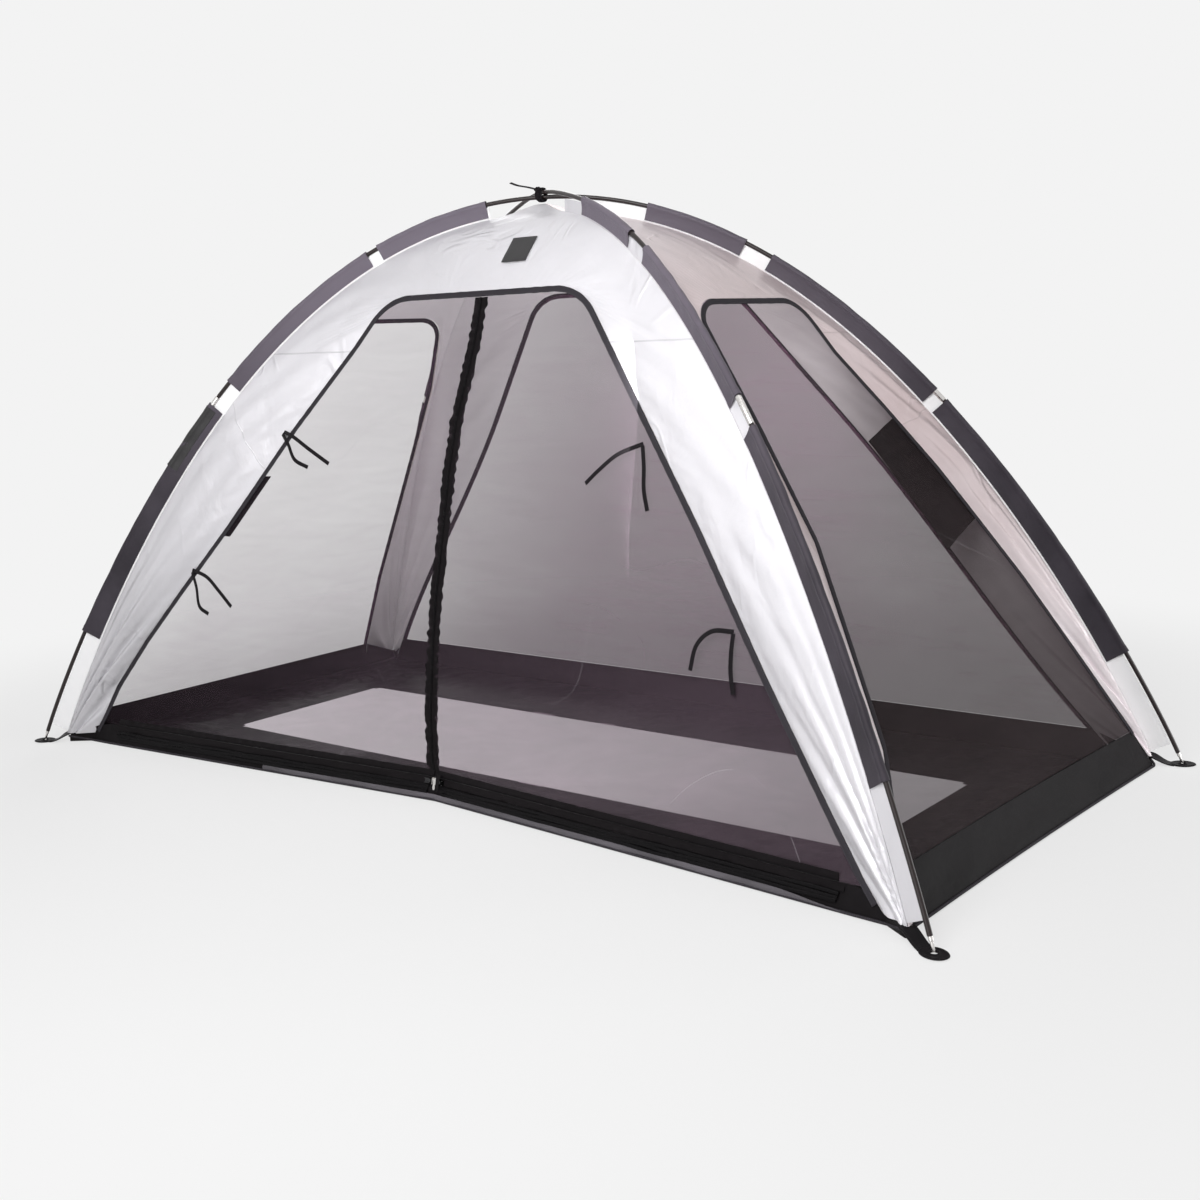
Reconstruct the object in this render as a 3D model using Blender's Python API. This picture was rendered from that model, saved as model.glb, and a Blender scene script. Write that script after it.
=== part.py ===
"""Free-standing bed tent on two crossed, bent poles, as separate pieces.

Metres, +Z up. The origin is on the ground, in the middle of the tent.
X runs along the length and the door wall faces -Y.
Run with: blender --background --python part.py
"""
import math

import bmesh
import bpy
import numpy as np

# Poles: plan position of the feet, rise of the bend, and the tube itself
FOOT_HALF_LENGTH = 1.031
FOOT_HALF_WIDTH = 0.503
FOOT_HEIGHT = 0.0025
POLE_RISE = 1.060
BEND_INNER_POWER = 2.05
BEND_OUTER_POWER = 0.94
POLE_RADIUS = 0.004
POLE_BORE_RADIUS = 0.0021
POLE_SIDES = 8
STATION_SPACING = 0.075
CROSSING_LENGTH = 0.10
SHOCK_CORD_RADIUS = 0.0012
SHOCK_CORD_END = 0.030

# Pole joints and ends, as distances along the bend from the middle or the foot
JOINT_ARC = 0.820
FERRULE_LENGTH = 0.064
FERRULE_WALL = 0.0008
PIN_LENGTH = 0.022
PIN_COLLAR_LENGTH = 0.007
PIN_COLLAR_RADIUS = 0.0034
PIN_RADIUS = 0.0024

# Short, middle and long sleeve on each half pole, as distances along the bend
# from the middle. They are wide enough to slide over the ferrules.
SLEEVE_SPANS = {
    "front_left": ((0.108, 0.338), (0.363, 0.747), (0.807, 1.375)),
    "front_right": ((0.184, 0.375), (0.434, 0.797), (0.857, 1.416)),
    "rear_right": ((0.201, 0.394), (0.449, 0.829), (0.855, 1.413)),
    "rear_left": ((0.201, 0.394), (0.449, 0.829), (0.855, 1.413)),
}
SLEEVE_CLOTH = 0.0010
SLEEVE_CLEARANCE = 0.0005

# Canopy: the seam runs below the pole, and its flange reaches up to the pole
SEAM_DROP_TOP = 0.012
SEAM_DROP_GAIN = 0.016
SEAM_DROP_LENGTH = 0.050
SEAM_DROP_FOOT_GAIN = 0.016
SEAM_SHIFT = 0.0038
PEAK_CUT_LENGTH = 0.012
FLANGE_CLEARANCE = 0.0015
FABRIC = 0.0012
HEM_HEIGHT = 0.019
WALL_COLUMNS = 9

# Folds that fan up each leg from its foot
FOLD_COUNT = 2.5
FOLD_DEPTH = 0.0045
FOLD_CENTRE = 0.14
FOLD_SPREAD = 0.13

# Window in the front and rear walls, measured in the leaning plane of the wall
LONG_WALL_INSET = 0.053
LONG_WALL_BASE = FOOT_HALF_WIDTH - LONG_WALL_INSET
LONG_WALL_LEAN = 0.300
LONG_WINDOW_INSET = 0.087
LONG_WINDOW_HALF_WIDTH = FOOT_HALF_LENGTH - LONG_WINDOW_INSET
LONG_WINDOW_TAPER = 0.797
LONG_WINDOW_TOP = 0.892
LONG_WINDOW_CORNER = 0.120

# Window in the left and right walls
END_WALL_INSET = 0.061
END_WALL_BASE = FOOT_HALF_LENGTH - END_WALL_INSET
END_WALL_LEAN = 0.600
END_WINDOW_INSET = 0.063
END_WINDOW_HALF_WIDTH = FOOT_HALF_WIDTH - END_WINDOW_INSET
END_WINDOW_TAPER = 0.346
END_WINDOW_TOP = 0.857
END_WINDOW_CORNER = 0.065
WINDOW_TOP_SPLIT_WIDTH = 0.020

# Sewn trim
PANEL_GAP = 0.0005
WALL_EDGE_GAP = 0.0008
NET_ABOVE_TUB = 0.0012
TRIM_GAP = 0.0003
BINDING_WIDTH = 0.012
BINDING_CLOTH = 0.0010

# Floor tub and its net panel
BAND_HEIGHT = 0.065
SILL_HEIGHT = 0.042
SILL_END_DROP = 0.006
TUB_INSET = 0.0030
FLOOR_NET_HALF_LENGTH = 0.757
FLOOR_NET_HALF_WIDTH = 0.205
FLOOR_NET_CORNER = 0.010
BORDER_FRONT_INSET = 0.060

# Door: two net flaps that meet at the upright zip
DOOR_CORNER_INSET = 0.064
DOOR_BOTTOM_HALF_WIDTH = LONG_WINDOW_HALF_WIDTH - DOOR_CORNER_INSET
DOOR_TOP = 0.869
DOOR_FOOT_INSET = 0.141
DOOR_FOOT_DEPTH = FOOT_HALF_WIDTH - DOOR_FOOT_INSET
DOOR_AXIS_PROUD = 0.0008
DOOR_TIP_CUT = 0.008
ZIP_TAPE_WIDTH = 0.012
ZIP_TAPE_CLOTH = 0.0010
ZIP_TAPE_SHORT_OF_CORNER = 0.050
ZIP_TAPE_SHORT_OF_TOP = 0.012
SILL_TAPE_INSET = 0.012
SILL_TAPE_HALF_LENGTH = DOOR_BOTTOM_HALF_WIDTH - SILL_TAPE_INSET

# Zip sliders
SLIDER_WIDTH = 0.0090
SLIDER_LENGTH = 0.0120
SLIDER_HEIGHT = 0.0044
SLIDER_FLOOR = 0.0014
SLIDER_CHEEK = 0.0012
SLIDER_CLEARANCE = 0.0006
SLIDER_DROP = 0.0075
SILL_SLIDER_OFFSET = 0.017
PULL_LENGTH = 0.0190
PULL_THICKNESS = 0.0014
PULL_PIVOT_ABOVE_FLOOR = 0.0014
PULL_PIVOT_ALONG = 0.0035
PULL_EYE_RADIUS = 0.0012

# Foot straps and their eyelet pads
STRAP_HALF_WIDTH = 0.009
STRAP_CLOTH = 0.0018
STRAP_INNER_END = 0.008
STRAP_BELOW_HEM = 0.0007
STRAP_STEPS = 6
PAD_HALF_WIDTH = 0.016
PAD_HALF_LENGTH = 0.021
EYELET_RADIUS = 0.0048
EYELET_SIDES = 12

# Tie at the crossing, pockets and the bare patch
TIE_WIDTH = 0.010
TIE_CLOTH = 0.0010
TIE_CLEARANCE = 0.0006
TIE_CORNER = 0.002
TIE_TAIL = 0.046
TIE_TAIL_HALF_WIDTH = 0.0035
TIE_TAIL_RISE = 0.012
POCKET_THICKNESS = 0.0040
POCKET_GAP = 0.0005
END_POCKET_LOW = 0.430
END_POCKET_HIGH = 0.630
END_POCKET_INTO_WINDOW = 0.065
END_POCKET_BEHIND_LEG = 0.050
FRONT_POCKET_LOW = 0.440
FRONT_POCKET_HIGH = 0.560
FRONT_POCKET_INTO_WINDOW = 0.018
FRONT_POCKET_BEHIND_LEG = 0.110
PATCH_SIZE = 0.056
PATCH_CENTRE_X = 0.057
PATCH_HEIGHT_SHARE = 0.28
PATCH_CLOTH = 0.0012
PATCH_PROUD = 0.0014

POLE_REACH = math.hypot(FOOT_HALF_LENGTH, FOOT_HALF_WIDTH)
REACH_X = FOOT_HALF_LENGTH / POLE_REACH
REACH_Y = FOOT_HALF_WIDTH / POLE_REACH
POLE_LIFT = 2 * POLE_RADIUS + TRIM_GAP

# Lateral and outward directions of each wall, in plan
WALL_DIRECTIONS = {
    "front": ((1, 0), (0, -1)),
    "right": ((0, 1), (1, 0)),
    "rear": ((-1, 0), (0, 1)),
    "left": ((0, -1), (-1, 0)),
}


def clear_scene():
    """Remove whatever the scene holds."""
    for item in list(bpy.data.objects):
        bpy.data.objects.remove(item, do_unlink=True)


def make_material(name, colour, roughness, metallic=0.0):
    """Plain Principled material."""
    material = bpy.data.materials.new(name)
    material.use_nodes = True
    shader = material.node_tree.nodes["Principled BSDF"]
    shader.inputs["Base Color"].default_value = (*colour, 1.0)
    shader.inputs["Roughness"].default_value = roughness
    shader.inputs["Metallic"].default_value = metallic
    return material


def make_object(name, points, faces, material):
    """One closed body with its faces turned outwards."""
    mesh = bpy.data.meshes.new(name)
    mesh.from_pydata([tuple(map(float, point)) for point in points], [], faces)
    work = bmesh.new()
    work.from_mesh(mesh)
    bmesh.ops.recalc_face_normals(work, faces=work.faces)
    work.to_mesh(mesh)
    work.free()
    mesh.materials.append(material)
    body = bpy.data.objects.new(name, mesh)
    bpy.context.scene.collection.objects.link(body)
    return body


def shade_round(body, angle=40):
    """Smooth shading that keeps real edges."""
    body.data.shade_smooth()
    body.data.set_sharp_from_angle(angle=math.radians(angle))


def move_origin(body, point):
    """Put the object's origin on its joint, with the mesh where it was."""
    offset = np.array(point, float)
    for vertex in body.data.vertices:
        vertex.co = np.array(vertex.co) - offset
    body.location = tuple(offset)


def loft(name, rings, material, around=False):
    """Join rings of equal count into a body, capped unless the rings close on themselves."""
    rings = np.asarray(rings, float)
    count, sides = rings.shape[:2]
    faces = []
    for ring in range(count if around else count - 1):
        following = (ring + 1) % count
        for side in range(sides):
            beside = (side + 1) % sides
            faces.append((ring * sides + side, ring * sides + beside,
                          following * sides + beside, following * sides + side))
    if not around:
        faces.append(tuple(range(sides)))
        faces.append(tuple((count - 1) * sides + side for side in reversed(range(sides))))
    return make_object(name, rings.reshape(-1, 3), faces, material)


def tube(name, outer, inner, material):
    """Hollow tube from matching outer and inner rings."""
    outer = np.asarray(outer, float)
    inner = np.asarray(inner, float)
    count, sides = outer.shape[:2]
    shift = count * sides
    faces = []
    for ring in range(count - 1):
        for side in range(sides):
            beside = (side + 1) % sides
            quad = (ring * sides + side, ring * sides + beside,
                    (ring + 1) * sides + beside, (ring + 1) * sides + side)
            faces.append(quad)
            faces.append(tuple(shift + index for index in reversed(quad)))
    for ring in (0, count - 1):
        for side in range(sides):
            first = ring * sides + side
            second = ring * sides + (side + 1) % sides
            faces.append((first, second, shift + second, shift + first))
    points = np.concatenate([outer.reshape(-1, 3), inner.reshape(-1, 3)])
    return make_object(name, points, faces, material)


def sheet(name, grid, thickness, material):
    """Thicken a grid of middle points into a closed cloth."""
    grid = np.asarray(grid, float)
    rows, columns = grid.shape[:2]
    along = np.diff(grid, axis=0)
    across = np.diff(grid, axis=1)
    normals = np.zeros_like(grid)
    for row_step in (0, 1):
        for column_step in (0, 1):
            quad = np.cross(along[:, column_step:columns - 1 + column_step],
                            across[row_step:rows - 1 + row_step])
            quad /= np.linalg.norm(quad, axis=2, keepdims=True) + 1e-12
            normals[row_step:rows - 1 + row_step, column_step:columns - 1 + column_step] += quad
    normals /= np.linalg.norm(normals, axis=2, keepdims=True)
    upper = grid + normals * thickness / 2
    lower = grid - normals * thickness / 2
    points = np.concatenate([upper.reshape(-1, 3), lower.reshape(-1, 3)])
    shift = rows * columns
    faces = []
    for row in range(rows - 1):
        for column in range(columns - 1):
            quad = (row * columns + column, row * columns + column + 1,
                    (row + 1) * columns + column + 1, (row + 1) * columns + column)
            faces.append(quad)
            faces.append(tuple(shift + index for index in reversed(quad)))
    rim = [column for column in range(columns)]
    rim += [row * columns + columns - 1 for row in range(1, rows)]
    rim += [(rows - 1) * columns + column for column in reversed(range(columns - 1))]
    rim += [row * columns for row in reversed(range(1, rows - 1))]
    for first, second in zip(rim, rim[1:] + rim[:1]):
        faces.append((second, first, shift + first, shift + second))
    return make_object(name, points, faces, material)


def slab(name, outline, normal, low, high, material):
    """Extrude a flat outline along its normal, from one offset to another."""
    outline = np.asarray(outline, float)
    normal = np.asarray(normal, float)
    rings = [outline + normal * low, outline + normal * high]
    return loft(name, rings, material)


def boolean(body, tool, operation):
    """Apply a live, exact Boolean with a hidden tool."""
    tool.hide_render = True
    tool.display_type = "WIRE"
    tool.hide_set(True)
    modifier = body.modifiers.new(operation.lower(), "BOOLEAN")
    modifier.operation = operation
    modifier.solver = "EXACT"
    modifier.object = tool


def unit(vector):
    vector = np.asarray(vector, float)
    return vector / np.linalg.norm(vector)


def seam_drop(distance):
    """How far the canopy seam lies below the pole, at a plan distance from the middle."""
    near = 1 - np.exp(-(distance / SEAM_DROP_LENGTH) ** 2)
    foot = np.abs(distance / POLE_REACH) ** 3
    return SEAM_DROP_TOP + SEAM_DROP_GAIN * near + SEAM_DROP_FOOT_GAIN * foot


def bend_height(distance):
    """Height of a pole's centre line, at a plan distance from the middle."""
    share = np.clip(np.abs(distance / POLE_REACH), 0, 1) ** BEND_INNER_POWER
    return FOOT_HEIGHT + POLE_RISE * (1 - share) ** BEND_OUTER_POWER


class Pole:
    """A bent pole in an upright diagonal plane, with stations along its length."""

    def __init__(self, direction, lift):
        self.direction = np.array([*direction, 0.0])
        self.side = np.cross([0, 0, 1.0], self.direction)
        distance = np.linspace(-POLE_REACH, POLE_REACH, 2401)
        height = bend_height(distance) + lift * np.exp(-(distance / CROSSING_LENGTH) ** 2)
        step = np.hypot(np.diff(distance), np.diff(height))
        arc = np.concatenate([[0], np.cumsum(step)])
        arc -= arc[-1] / 2
        self.half_length = arc[-1]
        slope = np.gradient(height, distance)
        slope[[0, -1]] = slope[[1, -2]]
        normal = np.stack([-slope, np.ones_like(slope)]) / np.hypot(slope, 1)
        reach = int(self.half_length / STATION_SPACING)
        marks = [index * STATION_SPACING for index in range(-reach, reach + 1)]
        marks += [-self.half_length, self.half_length]
        self.arc = np.array(sorted(marks))
        self.distance = np.interp(self.arc, arc, distance)
        self.height = np.interp(self.arc, arc, height)
        self.normal = np.stack([np.interp(self.arc, arc, part) for part in normal])

    def place(self, arc, up, aside):
        """Point near the pole: up from its centre line in the bend's plane, and to the side."""
        distance = np.interp(arc, self.arc, self.distance)
        height = np.interp(arc, self.arc, self.height)
        lean = np.interp(arc, self.arc, self.normal[0])
        rise = np.interp(arc, self.arc, self.normal[1])
        return (self.direction * (distance + lean * up)
                + np.array([0, 0, height + rise * up]) + self.side * aside)

    def stations(self, start, end):
        """Arc positions of a span: its ends and the pole's stations between them."""
        inside = self.arc[(self.arc > start + 0.004) & (self.arc < end - 0.004)]
        return np.concatenate([[start], inside, [end]])

    def rings(self, start, end, radius, sides=POLE_SIDES):
        """Round rings along a span."""
        angles = [2 * math.pi * index / sides for index in range(sides)]
        return [[self.place(arc, radius * math.cos(angle), radius * math.sin(angle))
                 for angle in angles] for arc in self.stations(start, end)]


class Ridge:
    """Canopy seam under half a pole, from the hem corner up to the peak."""

    def __init__(self):
        distance = np.linspace(0, POLE_REACH * 0.9999, 1600)
        height = bend_height(distance)
        slope = np.gradient(height, distance)
        normal = np.stack([-slope, np.ones_like(slope)]) / np.hypot(slope, 1)
        drop = seam_drop(distance)
        out = distance - drop * normal[0]
        level = height - drop * normal[1]
        keep = (level > HEM_HEIGHT - 0.004) & (out > 0)
        out, level, drop, normal = out[keep], level[keep], drop[keep], normal[:, keep]
        self.out, self.level = out, level
        self.end = float(np.interp(HEM_HEIGHT, level[::-1], out[::-1]))
        spots = np.linspace(PEAK_CUT_LENGTH, self.end, 900)
        heights = np.interp(spots, out, level)
        arc = np.concatenate([[0], np.cumsum(np.hypot(np.diff(spots), np.diff(heights)))])
        self.spots, self.arc = spots, arc
        self.drop = np.interp(spots, out, drop)
        self.normal = np.stack([np.interp(spots, out, part) for part in normal])

    def height(self, out):
        return np.interp(out, self.out, self.level)

    def reach(self, height):
        return np.interp(height, self.level[::-1], self.out[::-1])

    def spread(self, count):
        """Reach, seam drop and outward normal at even steps from the corner to the peak."""
        marks = np.linspace(self.arc[-1], 0, count)
        pick = [np.interp(marks, self.arc, values) for values in
                (self.spots, self.drop, self.normal[0], self.normal[1])]
        return pick


RIDGE = Ridge()


def leg_fold(share, level):
    """How far the folds near a foot push the cloth out, across a leg and up it."""
    fade = math.exp(-((level - FOLD_CENTRE) / FOLD_SPREAD) ** 2)
    across = math.sin(math.pi * share) * math.sin(2 * math.pi * FOLD_COUNT * share)
    return FOLD_DEPTH * fade * across


class Wall:
    """One sewn wall: its plane, its window outline and its curved cloth."""

    def __init__(self, side):
        self.side = side
        lateral, outward = WALL_DIRECTIONS[side]
        self.lateral = np.array([*lateral, 0.0])
        self.outward = np.array([*outward, 0.0])
        self.is_long = side in ("front", "rear")
        if self.is_long:
            values = (LONG_WALL_BASE, LONG_WALL_LEAN, LONG_WINDOW_HALF_WIDTH,
                      LONG_WINDOW_TAPER, LONG_WINDOW_TOP, LONG_WINDOW_CORNER)
            self.reach_lateral, self.reach_outward = REACH_X, REACH_Y
        else:
            values = (END_WALL_BASE, END_WALL_LEAN, END_WINDOW_HALF_WIDTH,
                      END_WINDOW_TAPER, END_WINDOW_TOP, END_WINDOW_CORNER)
            self.reach_lateral, self.reach_outward = REACH_Y, REACH_X
        self.base, self.lean, self.half, self.taper, self.top, self.corner = values
        self.up = unit(self.point(0, 1.0) - self.point(0, 0.0))
        self.normal = unit(self.outward + np.array([0, 0, self.lean]))

    def point(self, lateral, height, proud=0.0):
        """Point of the window's plane, and how far it stands proud of it."""
        place = (self.lateral * lateral + self.outward * (self.base - self.lean * height)
                 + np.array([0, 0, height]))
        if proud:
            place = place + self.normal * proud
        return place

    def edge(self, height):
        """Half width of the window's straight sides."""
        return self.half - self.taper * height

    def half_outline(self, inset=0.0, low=HEM_HEIGHT):
        """Window outline from the foot of one side to the middle of the top."""
        slant = math.hypot(1, self.taper)
        half = self.half - inset * slant
        top = self.top - inset
        radius = self.corner - inset
        centre_height = top - radius
        centre = half - self.taper * centre_height - radius * slant
        first = math.atan(self.taper)
        tangent_height = centre_height + radius * math.sin(first)
        points = [(half - self.taper * height, height)
                  for height in np.linspace(low, tangent_height, 9)]
        points += [(centre + radius * math.cos(angle), centre_height + radius * math.sin(angle))
                   for angle in np.linspace(first, math.pi / 2, 5)[1:]]
        points += [(across, top) for across in np.linspace(centre, WINDOW_TOP_SPLIT_WIDTH, 4)[1:]]
        return points

    def outline(self, inset=0.0, low=HEM_HEIGHT):
        """Whole window outline, from one foot over the top to the other foot."""
        half = self.half_outline(inset, low)
        return [(-across, height) for across, height in half] + half[::-1]

    def cloth_grid(self):
        """Middle surface of the wall, from the window's edge out to the seam."""
        half = self.half_outline(-WALL_EDGE_GAP)
        out, drop, lean, rise = RIDGE.spread(len(half))
        shares = np.linspace(0, 1, WALL_COLUMNS)
        shift = SEAM_SHIFT if self.is_long else 0.0
        rows = []
        for index, (across, height) in enumerate(half):
            inner = RIDGE.reach(height)
            residual = self.base - self.lean * height - self.reach_outward * inner
            row = []
            for share in shares:
                spot = (1 - share) * inner + share * out[index]
                aside = (1 - share) * across + share * (self.reach_lateral * out[index] - shift)
                depth = self.reach_outward * spot + residual * (1 - share) ** 1.5
                level = RIDGE.height(spot)
                row.append((aside, depth + leg_fold(share, level), level))
            if not self.is_long:
                rise_to_pole = drop[index] - POLE_RADIUS - FLANGE_CLEARANCE
                spot = out[index] + rise_to_pole * lean[index]
                row.append((self.reach_lateral * spot, self.reach_outward * spot,
                            RIDGE.height(out[index]) + rise_to_pole * rise[index]))
            rows.append(row)
        rows = np.array(rows)
        other = rows.copy()
        other[:, :, 0] *= -1
        whole = np.concatenate([other, rows[::-1]])
        return (whole[:, :, :1] * self.lateral + whole[:, :, 1:2] * self.outward
                + whole[:, :, 2:] * np.array([0, 0, 1.0]))


WALLS = {side: Wall(side) for side in WALL_DIRECTIONS}


class Door:
    """Plane and corners of the two flaps, and the directions along their zips."""

    def __init__(self, hand):
        front = WALLS["front"]
        height = SILL_HEIGHT + PANEL_GAP
        self.hand = hand
        self.corner = front.point(hand * DOOR_BOTTOM_HALF_WIDTH, height)
        self.top = front.point(0, DOOR_TOP)
        self.foot = np.array([0, -DOOR_FOOT_DEPTH, height])
        self.width = np.linalg.norm(self.corner - self.foot)
        self.height = np.linalg.norm(self.top - self.foot)
        self.aside = unit(self.corner - self.foot)
        self.up = unit(self.top - self.foot)
        self.normal = unit(np.cross(self.aside, self.up)) * hand
        if self.normal[1] > 0:
            self.normal = -self.normal
        fold = unit(self.top - self.corner)
        self.fold_distance = np.linalg.norm(np.cross(self.foot - self.corner, fold))

    def point(self, aside, up, proud=0.0):
        return self.foot + self.aside * aside + self.up * up + self.normal * proud

    def axis_point(self):
        return self.corner + self.normal * (FABRIC / 2 + DOOR_AXIS_PROUD)


DOORS = {"left": Door(-1), "right": Door(1)}
MIDDLE_NORMAL = unit(DOORS["left"].normal + DOORS["right"].normal)
ZIP_UP = DOORS["left"].up
TAPE_LOW = FABRIC / 2 + TRIM_GAP
TAPE_HIGH = TAPE_LOW + ZIP_TAPE_CLOTH


def add_poles(poles, materials):
    """Three hollow sections, two ferrules, two end pins and one shock cord to a pole."""
    for name, pole in poles.items():
        end = pole.half_length - PIN_LENGTH
        spans = (("lower_a", -end, -JOINT_ARC - TRIM_GAP),
                 ("middle", -JOINT_ARC, JOINT_ARC),
                 ("lower_b", JOINT_ARC + TRIM_GAP, end))
        for span, start, stop in spans:
            section = tube(f"{name}_{span}", pole.rings(start, stop, POLE_RADIUS),
                           pole.rings(start, stop, POLE_BORE_RADIUS), materials["fibreglass"])
            shade_round(section)
        inner = POLE_RADIUS + TRIM_GAP
        for label, hand in (("a", -1), ("b", 1)):
            low, high = sorted((hand * (JOINT_ARC - FERRULE_LENGTH / 2),
                                hand * (JOINT_ARC + FERRULE_LENGTH / 2)))
            ferrule = tube(f"{name}_ferrule_{label}", pole.rings(low, high, inner + FERRULE_WALL),
                           pole.rings(low, high, inner), materials["steel"])
            shade_round(ferrule)
            add_pin(f"{name}_end_pin_{label}", pole, hand, materials["steel"])
        cord_end = end - SHOCK_CORD_END
        cord = loft(f"{name}_shock_cord",
                    pole.rings(-cord_end, cord_end, SHOCK_CORD_RADIUS, sides=5),
                    materials["elastic"])
        shade_round(cord)


def add_pin(name, pole, hand, material):
    """Turned pin: a collar against the pole's end and a slimmer tip for the eyelet."""
    start = pole.half_length - PIN_LENGTH + TRIM_GAP
    collar = start + PIN_COLLAR_LENGTH
    profile = ((start, PIN_COLLAR_RADIUS), (collar, PIN_COLLAR_RADIUS),
               (collar, PIN_RADIUS), (pole.half_length - 0.001, PIN_RADIUS),
               (pole.half_length, PIN_RADIUS * 0.5))
    angles = [2 * math.pi * index / POLE_SIDES for index in range(POLE_SIDES)]
    rings = [[pole.place(hand * arc, radius * math.cos(angle), radius * math.sin(angle))
              for angle in angles] for arc, radius in profile]
    shade_round(loft(name, rings, material))


def sleeve_ring(pole, arc):
    """Folded sleeve: round over the pole, then two layers down beside the flange."""
    inner = POLE_RADIUS + TRIM_GAP + FERRULE_WALL + SLEEVE_CLEARANCE
    outer = inner + SLEEVE_CLOTH
    inner_half = FABRIC / 2 + SLEEVE_CLEARANCE
    outer_half = inner_half + SLEEVE_CLOTH
    distance = np.interp(arc, pole.arc, pole.distance)
    bottom = -(seam_drop(distance) - 0.003)
    turns = [math.radians(angle) for angle in range(-135, 136, 45)]
    over = [(outer * math.cos(turn), outer * math.sin(turn)) for turn in turns]
    under = [(inner * math.cos(turn), inner * math.sin(turn)) for turn in turns]
    path = [(bottom, -outer_half)] + over + [(bottom, outer_half)]
    path += [(bottom, inner_half)] + under[::-1] + [(bottom, -inner_half)]
    return [pole.place(arc, up, aside) for up, aside in path]


def add_sleeves(poles, materials):
    """Three sleeves on each half pole."""
    halves = (("front_left", "pole_a", -1), ("rear_right", "pole_a", 1),
              ("front_right", "pole_b", -1), ("rear_left", "pole_b", 1))
    for corner, name, hand in halves:
        pole = poles[name]
        for label, span in zip(("short", "middle", "long"), SLEEVE_SPANS[corner]):
            low, high = sorted(hand * arc for arc in span)
            rings = [sleeve_ring(pole, arc) for arc in pole.stations(low, high)]
            shade_round(loft(f"sleeve_{corner}_{label}", rings, materials["sleeve"]))


def add_walls(materials):
    """Silver walls, the dark binding on each window, and the fixed nets."""
    for side, wall in WALLS.items():
        body = sheet(f"{side}_wall", wall.cloth_grid(), FABRIC, materials["silver"])
        shade_round(body, 60)
        add_binding(side, wall, materials["binding"])
        if side != "front":
            low = BAND_HEIGHT + NET_ABOVE_TUB
            outline = [wall.point(*spot) for spot in wall.outline(PANEL_GAP, low)]
            slab(f"{side}_net", outline, wall.normal, -FABRIC / 2, FABRIC / 2, materials["net"])


def add_binding(side, wall, material):
    """Tape around the window, in front of the net's rim."""
    low = SILL_HEIGHT if side == "front" else BAND_HEIGHT
    outer = wall.outline(PANEL_GAP, low + PANEL_GAP)
    inner = wall.outline(PANEL_GAP + BINDING_WIDTH, low + PANEL_GAP)
    start = FABRIC / 2 + TRIM_GAP
    rings = [[wall.point(*far, start), wall.point(*near, start),
              wall.point(*near, start + BINDING_CLOTH), wall.point(*far, start + BINDING_CLOTH)]
             for far, near in zip(outer, inner)]
    loft(f"{side}_window_binding", rings, material)


def add_front_net(materials):
    """Fixed net between the front window's binding and the folds of the two flaps."""
    wall = WALLS["front"]
    low = SILL_HEIGHT + NET_ABOVE_TUB
    slope = (DOOR_TOP - low) / DOOR_BOTTOM_HALF_WIDTH
    across = PANEL_GAP * math.hypot(1, slope) / slope
    rise = PANEL_GAP * math.hypot(1, slope)
    spots = wall.outline(PANEL_GAP, low)
    spots += [(DOOR_BOTTOM_HALF_WIDTH + across, low), (0, DOOR_TOP + rise),
              (-DOOR_BOTTOM_HALF_WIDTH - across, low)]
    outline = [wall.point(*spot) for spot in spots]
    slab("front_fixed_net", outline, wall.normal, -FABRIC / 2, FABRIC / 2, materials["net"])


def add_doors(materials):
    """Two triangular flaps of net, each with its half of the zip along two edges."""
    for label, door in DOORS.items():
        gap = PANEL_GAP
        share = 1 - gap / door.fold_distance
        tip = door.height - DOOR_TIP_CUT
        corners = [(gap, gap), (door.width * (share - gap / door.height), gap),
                   (door.width * (share - tip / door.height), tip), (gap, tip)]
        outline = [door.point(*corner) for corner in corners]
        flap = slab(f"door_{label}_net", outline, door.normal, -FABRIC / 2, FABRIC / 2,
                    materials["net"])
        far = door.width - ZIP_TAPE_SHORT_OF_CORNER
        high = door.height - ZIP_TAPE_SHORT_OF_TOP
        width = gap + ZIP_TAPE_WIDTH
        spots = [(gap, gap), (far, gap), (far, width), (width, width), (width, high), (gap, high)]
        outline = [door.point(*spot) for spot in spots]
        tape = slab(f"zip_tape_{label}", outline, door.normal, TAPE_LOW, TAPE_HIGH,
                    materials["zip"])
        for body in (flap, tape):
            move_origin(body, door.axis_point())


def add_sill_tape(materials):
    """Lower half of the bottom zip, on the face of the sill."""
    middle = (TAPE_LOW + TAPE_HIGH) / 2
    rows = []
    for aside in (-SILL_TAPE_HALF_LENGTH, 0, SILL_TAPE_HALF_LENGTH):
        door = DOORS["left" if aside < 0 else "right"]
        if aside:
            rows.append([door.point(abs(aside), up, middle)
                         for up in (-PANEL_GAP - ZIP_TAPE_WIDTH, -PANEL_GAP)])
        else:
            rows.append([door.foot + ZIP_UP * up + MIDDLE_NORMAL * middle
                         for up in (-PANEL_GAP - ZIP_TAPE_WIDTH, -PANEL_GAP)])
    sheet("sill_zip_tape", rows, ZIP_TAPE_CLOTH, materials["zip"])


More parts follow.
